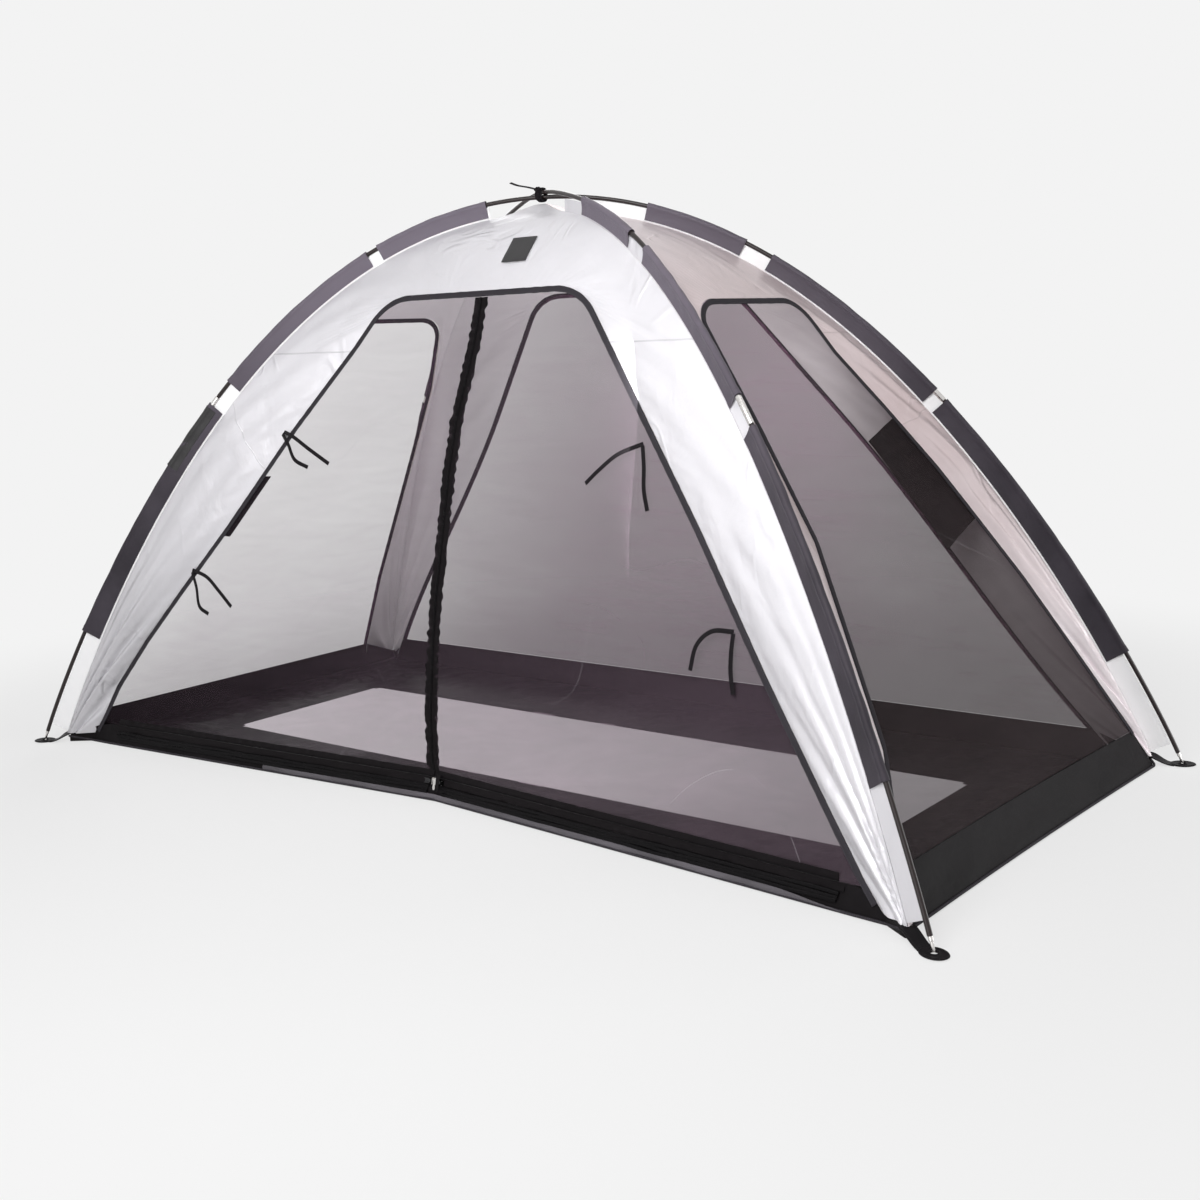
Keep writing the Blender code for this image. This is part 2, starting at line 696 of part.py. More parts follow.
def add_tub(materials):
    """Floor border with its upturned band on three sides and the low sill in front."""
    front, right, rear, left = (WALLS[side] for side in ("front", "right", "rear", "left"))
    stations = []

    def add(base, top, normal, inner):
        stations.append((np.array(base), np.array(top), np.array(normal), np.array(inner)))

    def along(wall, low_share, high_share, height, net, count):
        """Stations along one wall, from its negative to its positive side."""
        for share in np.linspace(low_share, high_share, count):
            base = wall.point(share * (wall.edge(0) - TUB_INSET), 0)
            top = wall.point(share * (wall.edge(height) - TUB_INSET), height)
            reach = net[0] - FLOOR_NET_CORNER
            add(base, top, wall.normal, wall.lateral * share * reach + wall.outward * net[1])

    net_long = (FLOOR_NET_HALF_LENGTH, FLOOR_NET_HALF_WIDTH)
    net_end = (FLOOR_NET_HALF_WIDTH, FLOOR_NET_HALF_LENGTH)
    down = (SILL_HEIGHT + PANEL_GAP) / ZIP_UP[2]
    top_down = PANEL_GAP / ZIP_UP[2]

    def sill(door, share):
        middle = share == 0
        normal = MIDDLE_NORMAL if middle else door.normal
        aside = door.aside * (door.width * share)
        inner = np.array([door.hand * share * (FLOOR_NET_HALF_LENGTH - BORDER_FRONT_INSET),
                          -FLOOR_NET_HALF_WIDTH, 0])
        add(door.foot + aside - ZIP_UP * down, door.foot + aside - ZIP_UP * top_down,
            normal, inner)

    along(front, -1, -1, SILL_HEIGHT - SILL_END_DROP, net_long, 1)
    for share in (1, 0.75, 0.5, 0.25):
        sill(DOORS["left"], share)
    for share in (0, 0.25, 0.5, 0.75, 1):
        sill(DOORS["right"], share)
    along(front, 1, 1, SILL_HEIGHT - SILL_END_DROP, net_long, 1)
    along(right, -1, 1, BAND_HEIGHT, net_end, 3)
    along(rear, -1, 1, BAND_HEIGHT, net_long, 7)
    along(left, -1, 1, BAND_HEIGHT, net_end, 3)

    rings = []
    for base, top, normal, inner in stations:
        half = normal * FABRIC / 2
        outward = unit([normal[0], normal[1], 0])
        foot = base + outward * FABRIC / 2
        rings.append([inner * [1, 1, 0], foot * [1, 1, 0], top + half, top - half,
                      (foot - outward * FABRIC * 1.3) * [1, 1, 0] + [0, 0, FABRIC],
                      inner * [1, 1, 0] + [0, 0, FABRIC]])
    shade_round(loft("floor_tub", rings, materials["black"], around=True), 50)

    edge = FLOOR_NET_CORNER
    reach_x = FLOOR_NET_HALF_LENGTH - PANEL_GAP
    reach_y = FLOOR_NET_HALF_WIDTH - PANEL_GAP
    outline = []
    for hand_x, hand_y in ((-1, -1), (1, -1), (1, 1), (-1, 1)):
        near = (hand_x * (reach_x - edge), hand_y * reach_y, 0)
        far = (hand_x * reach_x, hand_y * (reach_y - edge), 0)
        outline += [near, far] if hand_x * hand_y < 0 else [far, near]
    slab("floor_net", outline, (0, 0, 1), 0, FABRIC, materials["net"])


def add_foot_straps(materials):
    """Webbing from each hem corner to the eyelet pad that takes the pole's end pin."""
    corners = {"front_left": (-1, -1), "front_right": (1, -1),
               "rear_right": (1, 1), "rear_left": (-1, 1)}
    for corner, (hand_x, hand_y) in corners.items():
        outward = np.array([hand_x * REACH_X, hand_y * REACH_Y, 0])
        aside = np.cross([0, 0, 1.0], outward)
        inner = RIDGE.end - STRAP_INNER_END
        drop = HEM_HEIGHT - STRAP_BELOW_HEM - STRAP_CLOTH
        slack = POLE_REACH - PAD_HALF_LENGTH - inner
        path = []
        for share in np.linspace(0, 1, STRAP_STEPS):
            top = STRAP_CLOTH + drop * (1 + math.cos(math.pi * share)) / 2
            path.append((inner + share * slack, top, STRAP_HALF_WIDTH))
        for angle in range(150, 0, -20):
            turn = math.radians(angle)
            path.append((POLE_REACH + PAD_HALF_LENGTH * math.cos(turn), STRAP_CLOTH,
                         PAD_HALF_WIDTH * math.sin(turn)))
        rings = [[outward * place + aside * -half + [0, 0, top - STRAP_CLOTH],
                  outward * place + aside * half + [0, 0, top - STRAP_CLOTH],
                  outward * place + aside * half + [0, 0, top],
                  outward * place + aside * -half + [0, 0, top]]
                 for place, top, half in path]
        strap = loft(f"foot_strap_{corner}", rings, materials["webbing"])
        angles = [2 * math.pi * index / EYELET_SIDES for index in range(EYELET_SIDES)]
        cutter = [[outward * (POLE_REACH + EYELET_RADIUS * math.cos(angle))
                   + aside * EYELET_RADIUS * math.sin(angle) + [0, 0, level]
                   for angle in angles] for level in (-STRAP_CLOTH, 2 * STRAP_CLOTH)]
        boolean(strap, loft(f"eyelet_cutter_{corner}", cutter, materials["webbing"]),
                "DIFFERENCE")


def add_tie(materials):
    """Ribbon ring that holds the two poles together where they cross, with one tail."""
    low = bend_height(0) - POLE_RADIUS - TIE_CLEARANCE
    high = bend_height(0) + POLE_LIFT + POLE_RADIUS + TIE_CLEARANCE
    spread = (POLE_RADIUS + TIE_WIDTH / 2 * REACH_Y) / REACH_X + TIE_CLEARANCE

    def loop(grow):
        points = []
        for hand_y, hand_z, first in ((1, 1, 0), (-1, 1, 90), (-1, -1, 180), (1, -1, 270)):
            centre_y = hand_y * (spread - TIE_CORNER)
            centre_z = (high if hand_z > 0 else low) - hand_z * TIE_CORNER
            for step in (0, 45, 90):
                turn = math.radians(first + step)
                points.append((centre_y + (TIE_CORNER + grow) * math.cos(turn),
                               centre_z + (TIE_CORNER + grow) * math.sin(turn)))
        return points

    half = TIE_WIDTH / 2
    inner, outer = loop(0), loop(TIE_CLOTH)
    rings = [[(-half, *near), (half, *near), (half, *far), (-half, *far)]
             for near, far in zip(inner, outer)]
    ring = loft("apex_tie", rings, materials["ribbon"], around=True)
    top = high + TIE_CLOTH * 0.6
    tail = []
    for share in np.linspace(0, 1, 5):
        along = half * 0.8 - share * (TIE_TAIL + half * 0.8)
        level = top + TIE_TAIL_RISE * share ** 3
        tail.append([(along, -TIE_TAIL_HALF_WIDTH, level), (along, TIE_TAIL_HALF_WIDTH, level),
                     (along, TIE_TAIL_HALF_WIDTH, level + TIE_CLOTH),
                     (along, -TIE_TAIL_HALF_WIDTH, level + TIE_CLOTH)])
    boolean(ring, loft("apex_tie_tail", tail, materials["ribbon"]), "UNION")


def slider_body(name, centre, along, normal, material):
    """Channel-shaped slider: a floor against the zip and two cheeks."""
    across = unit(np.cross(along, normal))
    half = SLIDER_WIDTH / 2
    profile = [(-half, 0), (half, 0), (half, SLIDER_HEIGHT), (half - SLIDER_CHEEK, SLIDER_HEIGHT),
               (half - SLIDER_CHEEK, SLIDER_FLOOR), (SLIDER_CHEEK - half, SLIDER_FLOOR),
               (SLIDER_CHEEK - half, SLIDER_HEIGHT), (-half, SLIDER_HEIGHT)]
    rings = [[centre + along * reach + across * aside + normal * rise for aside, rise in profile]
             for reach in (-SLIDER_LENGTH / 2, SLIDER_LENGTH / 2)]
    body = loft(name, rings, material)
    move_origin(body, centre)


def add_sliders(materials):
    """Slider and pull of the upright zip, and one slider on each side of the sill's zip."""
    foot = DOORS["left"].foot
    proud = TAPE_HIGH + SLIDER_CLEARANCE
    centre = foot - ZIP_UP * SLIDER_DROP + MIDDLE_NORMAL * proud
    slider_body("zip_slider", centre, ZIP_UP, MIDDLE_NORMAL, materials["steel"])

    pivot = (centre + MIDDLE_NORMAL * (SLIDER_FLOOR + PULL_PIVOT_ABOVE_FLOOR)
             + ZIP_UP * PULL_PIVOT_ALONG)
    half = SLIDER_WIDTH / 2 - SLIDER_CHEEK - TRIM_GAP
    aside = np.array([1.0, 0, 0])
    outline = [(half, 0)]
    outline += [(half * math.cos(math.radians(turn)), PULL_EYE_RADIUS * math.sin(math.radians(turn)))
                for turn in (35, 90, 145)]
    outline += [(-half, 0), (-half * 0.75, -PULL_LENGTH * 0.5), (-half, -PULL_LENGTH * 0.8),
                (-half * 0.5, -PULL_LENGTH), (half * 0.5, -PULL_LENGTH),
                (half, -PULL_LENGTH * 0.8), (half * 0.75, -PULL_LENGTH * 0.5)]
    points = [pivot + aside * across + ZIP_UP * along for across, along in outline]
    pull = slab("zip_pull", points, MIDDLE_NORMAL, -PULL_THICKNESS / 2, PULL_THICKNESS / 2,
                materials["steel"])
    move_origin(pull, pivot)

    for label, door in DOORS.items():
        centre = door.point(SILL_SLIDER_OFFSET, -SLIDER_DROP, TAPE_HIGH + TRIM_GAP)
        slider_body(f"sill_slider_{label}", centre, door.aside, door.normal, materials["steel"])


def add_pockets(materials):
    """Flat pockets inside, one past the right window's binding and one past the door's."""
    near = -FABRIC / 2 - POCKET_GAP
    wall = WALLS["right"]
    spots = [(wall.edge(END_POCKET_LOW) - END_POCKET_INTO_WINDOW, END_POCKET_LOW),
             (wall.edge(END_POCKET_LOW) + END_POCKET_BEHIND_LEG, END_POCKET_LOW),
             (wall.edge(END_POCKET_HIGH) + END_POCKET_BEHIND_LEG, END_POCKET_HIGH),
             (wall.edge(END_POCKET_HIGH) - END_POCKET_INTO_WINDOW, END_POCKET_HIGH)]
    slab("pocket_right_wall", [wall.point(*spot) for spot in spots], wall.normal,
         near - POCKET_THICKNESS, near, materials["black"])
    wall = WALLS["front"]
    spots = [(-wall.edge(FRONT_POCKET_LOW) + FRONT_POCKET_INTO_WINDOW, FRONT_POCKET_LOW),
             (-wall.edge(FRONT_POCKET_LOW) - FRONT_POCKET_BEHIND_LEG, FRONT_POCKET_LOW),
             (-wall.edge(FRONT_POCKET_HIGH) - FRONT_POCKET_BEHIND_LEG, FRONT_POCKET_HIGH),
             (-wall.edge(FRONT_POCKET_HIGH) + FRONT_POCKET_INTO_WINDOW, FRONT_POCKET_HIGH)]
    slab("pocket_front_wall", [wall.point(*spot) for spot in spots], wall.normal,
         near - POCKET_THICKNESS, near, materials["black"])


def add_patch(materials):
    """Bare square patch on the top panel of the front wall."""
    wall = WALLS["front"]
    inner = RIDGE.reach(wall.top)
    residual = wall.base - wall.lean * wall.top - wall.reach_outward * inner
    steps = []
    for share in (PATCH_HEIGHT_SHARE - 0.05, PATCH_HEIGHT_SHARE, PATCH_HEIGHT_SHARE + 0.05):
        spot = (1 - share) * inner + share * PEAK_CUT_LENGTH
        depth = wall.reach_outward * spot + residual * (1 - share) ** 1.5
        steps.append(np.array([PATCH_CENTRE_X, -depth, RIDGE.height(spot)]))
    up = unit(steps[2] - steps[0])
    normal = unit(np.cross([1.0, 0, 0], up))
    half = PATCH_SIZE / 2
    outline = [steps[1] + np.array([across * half, 0, 0]) + up * along * half
               for across, along in ((-1, -1), (1, -1), (1, 1), (-1, 1))]
    low = FABRIC / 2 + PATCH_PROUD
    slab("front_patch", outline, normal, low, low + PATCH_CLOTH, materials["black"])


def main():
    clear_scene()
    materials = {
        "fibreglass": make_material("pole_fibreglass", (0.035, 0.028, 0.028), 0.35),
        "steel": make_material("plated_steel", (0.62, 0.60, 0.58), 0.25, 1.0),
        "elastic": make_material("elastic_cord", (0.75, 0.75, 0.75), 0.8),
        "sleeve": make_material("sleeve_polyester", (0.055, 0.05, 0.06), 0.55),
        "silver": make_material("silver_polyester", (0.78, 0.77, 0.79), 0.38, 0.15),
        "binding": make_material("binding_tape", (0.06, 0.06, 0.07), 0.7),
        "net": make_material("mosquito_net", (0.30, 0.27, 0.29), 0.85),
        "black": make_material("black_polyester", (0.02, 0.018, 0.019), 0.5),
        "zip": make_material("zip_tape", (0.015, 0.014, 0.015), 0.6),
        "webbing": make_material("webbing", (0.02, 0.02, 0.02), 0.7),
        "ribbon": make_material("ribbon", (0.02, 0.02, 0.02), 0.6),
    }
    poles = {"pole_a": Pole((REACH_X, REACH_Y), 0.0),
             "pole_b": Pole((-REACH_X, REACH_Y), POLE_LIFT)}
    add_poles(poles, materials)
    add_sleeves(poles, materials)
    add_walls(materials)
    add_front_net(materials)
    add_doors(materials)
    add_sill_tape(materials)
    add_tub(materials)
    add_foot_straps(materials)
    add_tie(materials)
    add_sliders(materials)
    add_pockets(materials)
    add_patch(materials)


main()
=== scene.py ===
"""Bed tent on two crossed bent poles: cloth, nets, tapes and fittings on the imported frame.

Metres, +Z up. The door wall faces -Y, and the origin is on the ground in the middle.
"""
import math

import bpy
import numpy as np
from mathutils import Matrix


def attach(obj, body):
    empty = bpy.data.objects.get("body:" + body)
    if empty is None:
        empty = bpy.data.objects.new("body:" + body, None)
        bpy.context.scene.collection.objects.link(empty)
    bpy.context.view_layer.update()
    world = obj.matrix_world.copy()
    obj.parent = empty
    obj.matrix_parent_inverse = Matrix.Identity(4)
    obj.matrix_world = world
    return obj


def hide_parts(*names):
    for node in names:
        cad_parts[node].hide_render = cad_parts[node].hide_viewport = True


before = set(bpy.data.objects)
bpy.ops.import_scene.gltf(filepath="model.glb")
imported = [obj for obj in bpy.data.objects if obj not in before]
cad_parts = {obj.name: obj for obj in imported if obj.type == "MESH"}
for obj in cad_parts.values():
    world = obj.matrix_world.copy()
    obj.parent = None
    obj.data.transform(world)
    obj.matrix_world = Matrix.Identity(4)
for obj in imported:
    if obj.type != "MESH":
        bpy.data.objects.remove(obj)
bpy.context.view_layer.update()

# Camera and backdrop
PICTURE_PIXELS, FOCAL_PIXELS, SENSOR = 1200, 1501.0, 36
CAMERA_PLACE = (1.8508, -2.1920, 0.8052)
CAMERA_YAW, CAMERA_PITCH, CAMERA_ROLL = -0.67412, -0.17393, -0.04005
BACKDROP = (0.896, 0.896, 0.896, 1)
SKY_STRENGTH = 0.20

# Name, place, aim, size and power of the lamps
LAMPS = (
    ("key", (0.85, -1.8, 1.8), (0, -0.2, 0.5), 1.2, 36),
    ("front", (0.7, -3.5, 0.9), (0, 0, 0.4), 1.8, 24),
    ("top", (0.3, -0.2, 4.2), (0, 0, 0.4), 3.0, 12),
    ("inside", (0.45, -0.12, 0.60), (-0.6, 0.25, 0.40), 0.4, 2.4),
    ("side", (2.1, 1.1, 0.3), (0.95, 0.35, 0.1), 0.9, 13),
    ("back", (-2.6, 2.6, 1.8), (0, 0.2, 0.4), 2.0, 42),
)

# Poles and ferrules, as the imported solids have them
FOOT_X, FOOT_Y, FOOT_Z = 1.031, 0.503, 0.0025
POLE_REACH = math.hypot(FOOT_X, FOOT_Y)
REACH_X, REACH_Y = FOOT_X / POLE_REACH, FOOT_Y / POLE_REACH
POLE_RISE = 1.060
POLE_RADIUS = 0.004
POLE_LIFT = 0.0083
JOINT_ARC = 0.820
FERRULE_LENGTH = 0.064
PIN_LENGTH = 0.022
JOINT_GAP = 0.0003

# Ends of the sleeves along each half pole, in millimetres from the top
REAR_SPANS = ((201, 394), (449, 829), (855, 1413))
SLEEVE_SPANS = {
    "front_left": ((108, 338), (363, 747), (807, 1375)),
    "front_right": ((184, 375), (434, 797), (857, 1416)),
    "rear_right": REAR_SPANS,
    "rear_left": REAR_SPANS,
}

# Canopy and its windows
HEM_HEIGHT = 0.019
PEAK_CUT = 0.012
SEAM_SHIFT = 0.0011
BINDING = 0.012
BINDING_SHARE = 0.88
BAND_HEIGHT = 0.065
SILL_HEIGHT = 0.042
DOOR_HALF_WIDTH = 0.880
DOOR_TOP = 0.869
DOOR_FOOT_DEPTH = 0.362
ZIP_TAPE = 0.012
ZIP_GAP = 0.0005
SILL_END = 0.868
NET_HALF_X, NET_HALF_Y = 0.757, 0.205
NET_INSET, NET_FOOT = 0.003, 0.0012
TOP_MIDDLE = 0.020
TUB_INSET, TUB_LAP, PANEL_LAP = 0.003, 0.010, 0.004
PATCH_X, PATCH_HALF = 0.057, 0.028

# Depth at the ground, lean, half width at the ground, taper, top and corner radius of the windows
LONG_WINDOW = (0.450, 0.300, 0.944, 0.797, 0.892, 0.120)
END_WINDOW = (0.970, 0.600, 0.440, 0.346, 0.857, 0.065)

# Pulls of uneven tension: heights and shifts in millimetres. The zip's heights are thousandths
# of its own, and the pull on the right window's rear edge is in thousandths of its greatest.
PULLS = {
    "right_front": ((66, 12), (200, 74), (480, 80), (660, 25), (820, -33)),
    "right_rear": ((0, 800), (68, 900), (350, 1000), (550, 750), (660, 400), (760, 0)),
    "left_rear": ((70, 80), (250, 55), (500, 0), (700, -45), (820, -50)),
    "door_left": ((20, 0), (60, 12), (120, 34), (220, 40), (320, 34), (450, 22), (650, 18),
                  (800, 0)),
    "door_right": ((20, 6), (60, 12), (300, 10), (500, 0)),
    "zip": ((0, 2), (35, 13), (130, 27), (270, 36), (370, 39), (510, 36), (640, 34), (760, 26),
            (860, 8), (950, -4), (1020, -9)),
}

# Thickness of the cloths, and sizes of tapes, coils and pleats
FABRIC = 0.0012
TAPE = 0.0008
TUB_CLOTH = 0.0011
PATCH_CLOTH = 0.0009
WEBBING = 0.0022
RIBBON = 0.0011
TIE_WIDTH, TAIL_WIDTH = 0.0075, 0.0065
BINDING_INSET, BINDING_PROUD, BINDING_THICKNESS = 0.0045, 0.0007, 0.0026
COIL_RADIUS = 0.0011
PLEATS_DOWN, PLEAT_WIDTH, PLEAT_THICKNESS = (0.0165, 0.0222, 0.0278), 0.0058, 0.0030
PIPING_RADIUS = 0.0023

# Headings along the walls, to the right as seen from outside
LATERAL = {"front": (1, 0, 0), "right": (0, 1, 0), "rear": (-1, 0, 0), "left": (0, -1, 0)}
UP, ALONG_X = np.array([0, 0, 1.0]), np.array([1.0, 0, 0])
CORNERS = {"front_left": (-1, -1), "front_right": (1, -1), "rear_right": (1, 1),
           "rear_left": (-1, 1)}


def unit(vector):
    """Vectors scaled to length 1 along the last axis."""
    vector = np.asarray(vector, float)
    return vector / np.linalg.norm(vector, axis=-1, keepdims=True)


def times(vector, amount):
    """The vector times each of the amounts."""
    return np.asarray(amount, float)[..., None] * vector


def shares(rows, columns, low=0):
    """Even shares from low to 1 down the rows and across the columns of a grid."""
    return np.linspace(low, 1, rows)[:, None], np.linspace(low, 1, columns)[None]


def circle(sides):
    """Even angles round one turn."""
    return np.linspace(0, 2 * np.pi, sides, endpoint=False)


def arch(share):
    """Half a sine wave: 0 at share 0 and at 1, and 1 half way."""
    return np.sin(np.pi * share)


def mixed(first, second, share):
    """What lies between the first and the second, at a share of the way."""
    return first * (1 - share) + second * share


def lengths(points):
    """Length along a path at each of its points."""
    steps = np.linalg.norm(np.diff(points, axis=0), axis=1)
    return np.concatenate([[0], np.cumsum(steps)])


def looked_up(marks, length, points):
    """Points of a path at marks of its length."""
    return np.stack([np.interp(marks, length, column) for column in points.T], -1)


def bell(value, centre, width):
    """Bell curve: exp(-((value - centre) / width) squared)."""
    return np.exp(-((value - centre) / width) ** 2)


def step(value, low, high):
    """Smooth step from 0 at low to 1 at high: 3 t^2 - 2 t^3 of the clipped share t."""
    share = np.clip((value - low) / (high - low), 0, 1)
    return share * share * (3 - 2 * share)


def ripples(p, q, seed, low, high):
    """Sum of seven sine waves over p and q: random headings, and between low and high per
    metre."""
    waves = 7
    rng = np.random.default_rng(seed)
    pitch = rng.uniform(low, high, waves)
    heading = rng.uniform(0, 2 * np.pi, waves)
    phase = rng.uniform(0, 2 * np.pi, waves)
    total = 0
    for wave in range(waves):
        along = p * np.cos(heading[wave]) + q * np.sin(heading[wave])
        total = total + np.sin(2 * np.pi * pitch[wave] * along + phase[wave])
    return total / math.sqrt(waves)


def put(name, data, axes=None):
    """New object of the scene, at the origin or with the given x, y and z axes and place."""
    made = bpy.data.objects.new(name, data)
    bpy.context.scene.collection.objects.link(made)
    if axes is not None:
        matrix = np.eye(4)
        matrix[:3] = np.stack(axes, -1)
        made.matrix_world = Matrix(matrix.tolist())
    return made


# Camera, fitted to the poles, feet and windows of the photograph
def place_camera():
    """Pinhole of 45 mm on a 36 mm sensor, turned by yaw, pitch and roll."""
    yaw, pitch, roll = CAMERA_YAW, CAMERA_PITCH, CAMERA_ROLL
    ahead = np.array([math.sin(yaw) * math.cos(pitch), math.cos(yaw) * math.cos(pitch),
                      math.sin(pitch)])
    level = np.array([math.cos(yaw), -math.sin(yaw), 0])
    above = np.cross(level, ahead)
    right = level * math.cos(roll) + above * math.sin(roll)
    top = above * math.cos(roll) - level * math.sin(roll)
    lens = bpy.data.cameras.new("view")
    lens.lens = SENSOR * FOCAL_PIXELS / PICTURE_PIXELS
    lens.sensor_width = SENSOR
    bpy.context.scene.camera = put("view", lens, (right, top, -ahead, CAMERA_PLACE))


# Shader maths
class Value:
    """A shader socket on which Python's arithmetic adds Math nodes."""

    def __init__(self, nodes, socket):
        self.nodes = nodes
        self.socket = socket

    def maths(self, operation, *others):
        return self.nodes.node("Math", {"operation": operation}, self, *others)

    def __add__(self, other):
        return self.maths("ADD", other)

    def __sub__(self, other):
        return self.maths("SUBTRACT", other)

    def __rsub__(self, other):
        return self.nodes.node("Math", {"operation": "SUBTRACT"}, other, self)

    def __mul__(self, other):
        return self.maths("MULTIPLY", other)

    __radd__ = __add__

    def wave(self, pitch):
        """Sine wave of a pitch."""
        return (self * (2 * math.pi / pitch)).maths("SINE")

    def between(self, low, high):
        """Smooth step: 0 below low, 1 above high."""
        return self.nodes.node("MapRange", {"interpolation_type": "SMOOTHSTEP"},
                                self, low, high, 0.0, 1.0)

    def near(self, centre, width):
        """Smooth band: 1 at the centre, 0 at width from it."""
        return 1 - (self - centre).maths("ABSOLUTE").between(0.0, width)


class Nodes:
    """The nodes of a material or of the world."""

    def __init__(self, tree):
        self.tree = tree

    def node(self, kind, settings=None, *values, output=0, **named):
        """Any node: its type, its settings, then the values or links of its sockets."""
        made = self.tree.nodes.new("ShaderNode" + kind)
        for key, value in (settings or {}).items():
            setattr(made, key, value)
        for key, value in [*enumerate(values), *named.items()]:
            socket = made.inputs[key.replace("_", " ") if isinstance(key, str) else key]
            if isinstance(value, Value):
                self.tree.links.new(value.socket, socket)
            elif value is not None:
                socket.default_value = value
        return Value(self, made.outputs[output])

    def backdrop_rays(self):
        """1 for the rays that show the plain backdrop: camera, glossy and transmission rays."""
        camera, glossy, through = (self.node("LightPath", output=f"Is {kind} Ray")
                                   for kind in ("Camera", "Glossy", "Transmission"))
        return camera.maths("MAXIMUM", glossy).maths("MAXIMUM", through)


class Finish(Nodes):
    """One material: a Principled shader and the nodes that feed it."""

    def __init__(self, name, colour, roughness, **constants):
        self.material = bpy.data.materials.new(name)
        self.material.use_nodes = True
        super().__init__(self.material.node_tree)
        self.shader = self.tree.nodes["Principled BSDF"]
        self.set("Base Color", (*colour, 1.0))
        self.set("Roughness", roughness)
        for socket, value in constants.items():
            self.set(socket.replace("_", " ").title().replace("Ior", "IOR"), value)

    def set(self, socket, value):
        if isinstance(value, Value):
            self.tree.links.new(value.socket, self.shader.inputs[socket])
        else:
            self.shader.inputs[socket].default_value = value

    def dressed(self, colour, roughness, normal):
        """The material, with what feeds its colour, its roughness if given, and its normal."""
        self.set("Base Color", colour)
        if roughness is not None:
            self.set("Roughness", roughness)
        self.set("Normal", normal)
        return self.material

    def place(self):
        return self.node("TexCoord", output="Object")

    def spread(self):
        return self.node("UVMap", {"uv_map": "cloth"})

    def scaled(self, vector, scale, turn=0.0):
        return self.node("Mapping", None, vector, (0, 0, 0), (0, 0, turn), scale)

    def parts(self, vector):
        """The three parts of a vector."""
        split = self.tree.nodes.new("ShaderNodeSeparateXYZ")
        self.tree.links.new(vector.socket, split.inputs[0])
        return [Value(self, socket) for socket in split.outputs]

    def noise(self, vector, scale, detail, warp=0.0):
        return self.node("TexNoise", None, vector, Scale=scale, Detail=detail,
                         Distortion=warp, output="Fac")

    def blend(self, share, first, second):
        """Colour between two colours by a share: sockets 0, 6 and 7 of the Mix node."""
        return self.node("Mix", {"data_type": "RGBA"}, share, *[None] * 5, first, second, output=2)

    def relief(self, height, distance, strength, under=None):
        """Bump node whose height is in units of distance, over another bump if given."""
        return self.node("Bump", Strength=strength, Distance=distance, Height=height, Normal=under)

    def weave(self, vector, pitch):
        """Plain weave: the product of two sine waves across each other."""
        across, along, _ = self.parts(vector)
        return across.wave(pitch) * along.wave(pitch)


def tone(colour, factor):
    """A colour made darker or lighter."""
    return (*[min(1.0, part * factor) for part in colour[:3]], 1.0)


def silver_cloth(name, base, seams, across_x):
    """Silver polyester: satin sheen, weave, clouds, crumples, two felled seams, and painted
    light and shade: the long walls darker towards the foot, the top and the left, the end
    walls paler and whiter towards the foot and the top."""
    cloth = Finish(name, base, 0.45, metallic=0.22, specular_ior_level=0.5)
    place, spread = cloth.place(), cloth.spread()
    x, y, z = cloth.parts(place)
    both = (x if across_x else y).maths("ABSOLUTE")
    clouds = cloth.noise(place, 3.5, 4.0)
    crumple = cloth.noise(cloth.scaled(place, (1.0, 1.0, 0.55)), 16.0, 5.0, 0.6)
    wrinkle = cloth.noise(cloth.scaled(place, (1.0, 1.0, 0.5), 0.5), 7.5, 2.0, 0.9).near(0.5, 0.05)
    wrinkle = wrinkle * cloth.noise(place, 5.0, 2.0).between(0.45, 0.65)
    seam = 0.0
    for height, slope, start in seams:
        side = x * -1.0 if across_x and slope else both
        line = (z - (side * slope + height)).near(0.0, 0.0022) * side.between(start, start + 0.01)
        seam = seam + line
    # Painted light and shade: on the long walls the colour darkens towards the foot, above 0.72 m
    # and towards the left; on the end walls it turns paler and whiter towards the foot and again
    # above 0.86 m.
    if across_x:
        level = z.between(0.0, 0.60) * 0.75 - z.between(0.72, 0.95) * 0.45
        level = level + x.between(-0.9, 0.3) * 0.55 - 0.36
        first, last = tone(base, 0.72), tone(base, 1.08)
    else:
        level = z.between(0.05, 0.60) * 0.8 - z.between(0.86, 1.0) * 0.35
        first, last = (1.0, 0.93, 0.96, 1.0), tone(base, 0.77)
    colour = cloth.blend(clouds.between(0.3, 0.75) * 0.25 + level, first, last)
    colour = cloth.blend(seam * 0.45, colour, tone(base, 0.55))
    weave = cloth.relief(cloth.weave(spread, 0.0011), 0.00004, 0.4)
    soft = cloth.relief(crumple + wrinkle * 0.40, 0.0055, 0.7, weave)
    return cloth.dressed(colour, clouds * 0.14 + 0.30, cloth.relief(seam, 0.0008, 0.8, soft))


def white_cloth(name, clean, soiled, dull=None):
    """White polyester, as on the flange and the walls' inner side: fine weave, faint soil,
    and on the rear wall a right leg greyed as painted shade."""
    cloth = Finish(name, clean, 0.55, sheen_weight=0.1)
    place, spread = cloth.place(), cloth.spread()
    soil = cloth.noise(place, 7.0, 4.0)
    colour = cloth.blend(soil, (*clean, 1.0), (*soiled, 1.0))
    # Painted shade: the colour turns grey from x = 0.20 to 0.36 onwards.
    if dull:
        x, _, _ = cloth.parts(place)
        colour = cloth.blend(x.between(0.20, 0.36), colour, (*dull, 1.0))
    weave = cloth.relief(cloth.weave(spread, 0.0012), 0.00005, 0.4)
    return cloth.dressed(colour, None,
                         cloth.relief(cloth.noise(place, 24.0, 3.0), 0.0012, 0.5, weave))


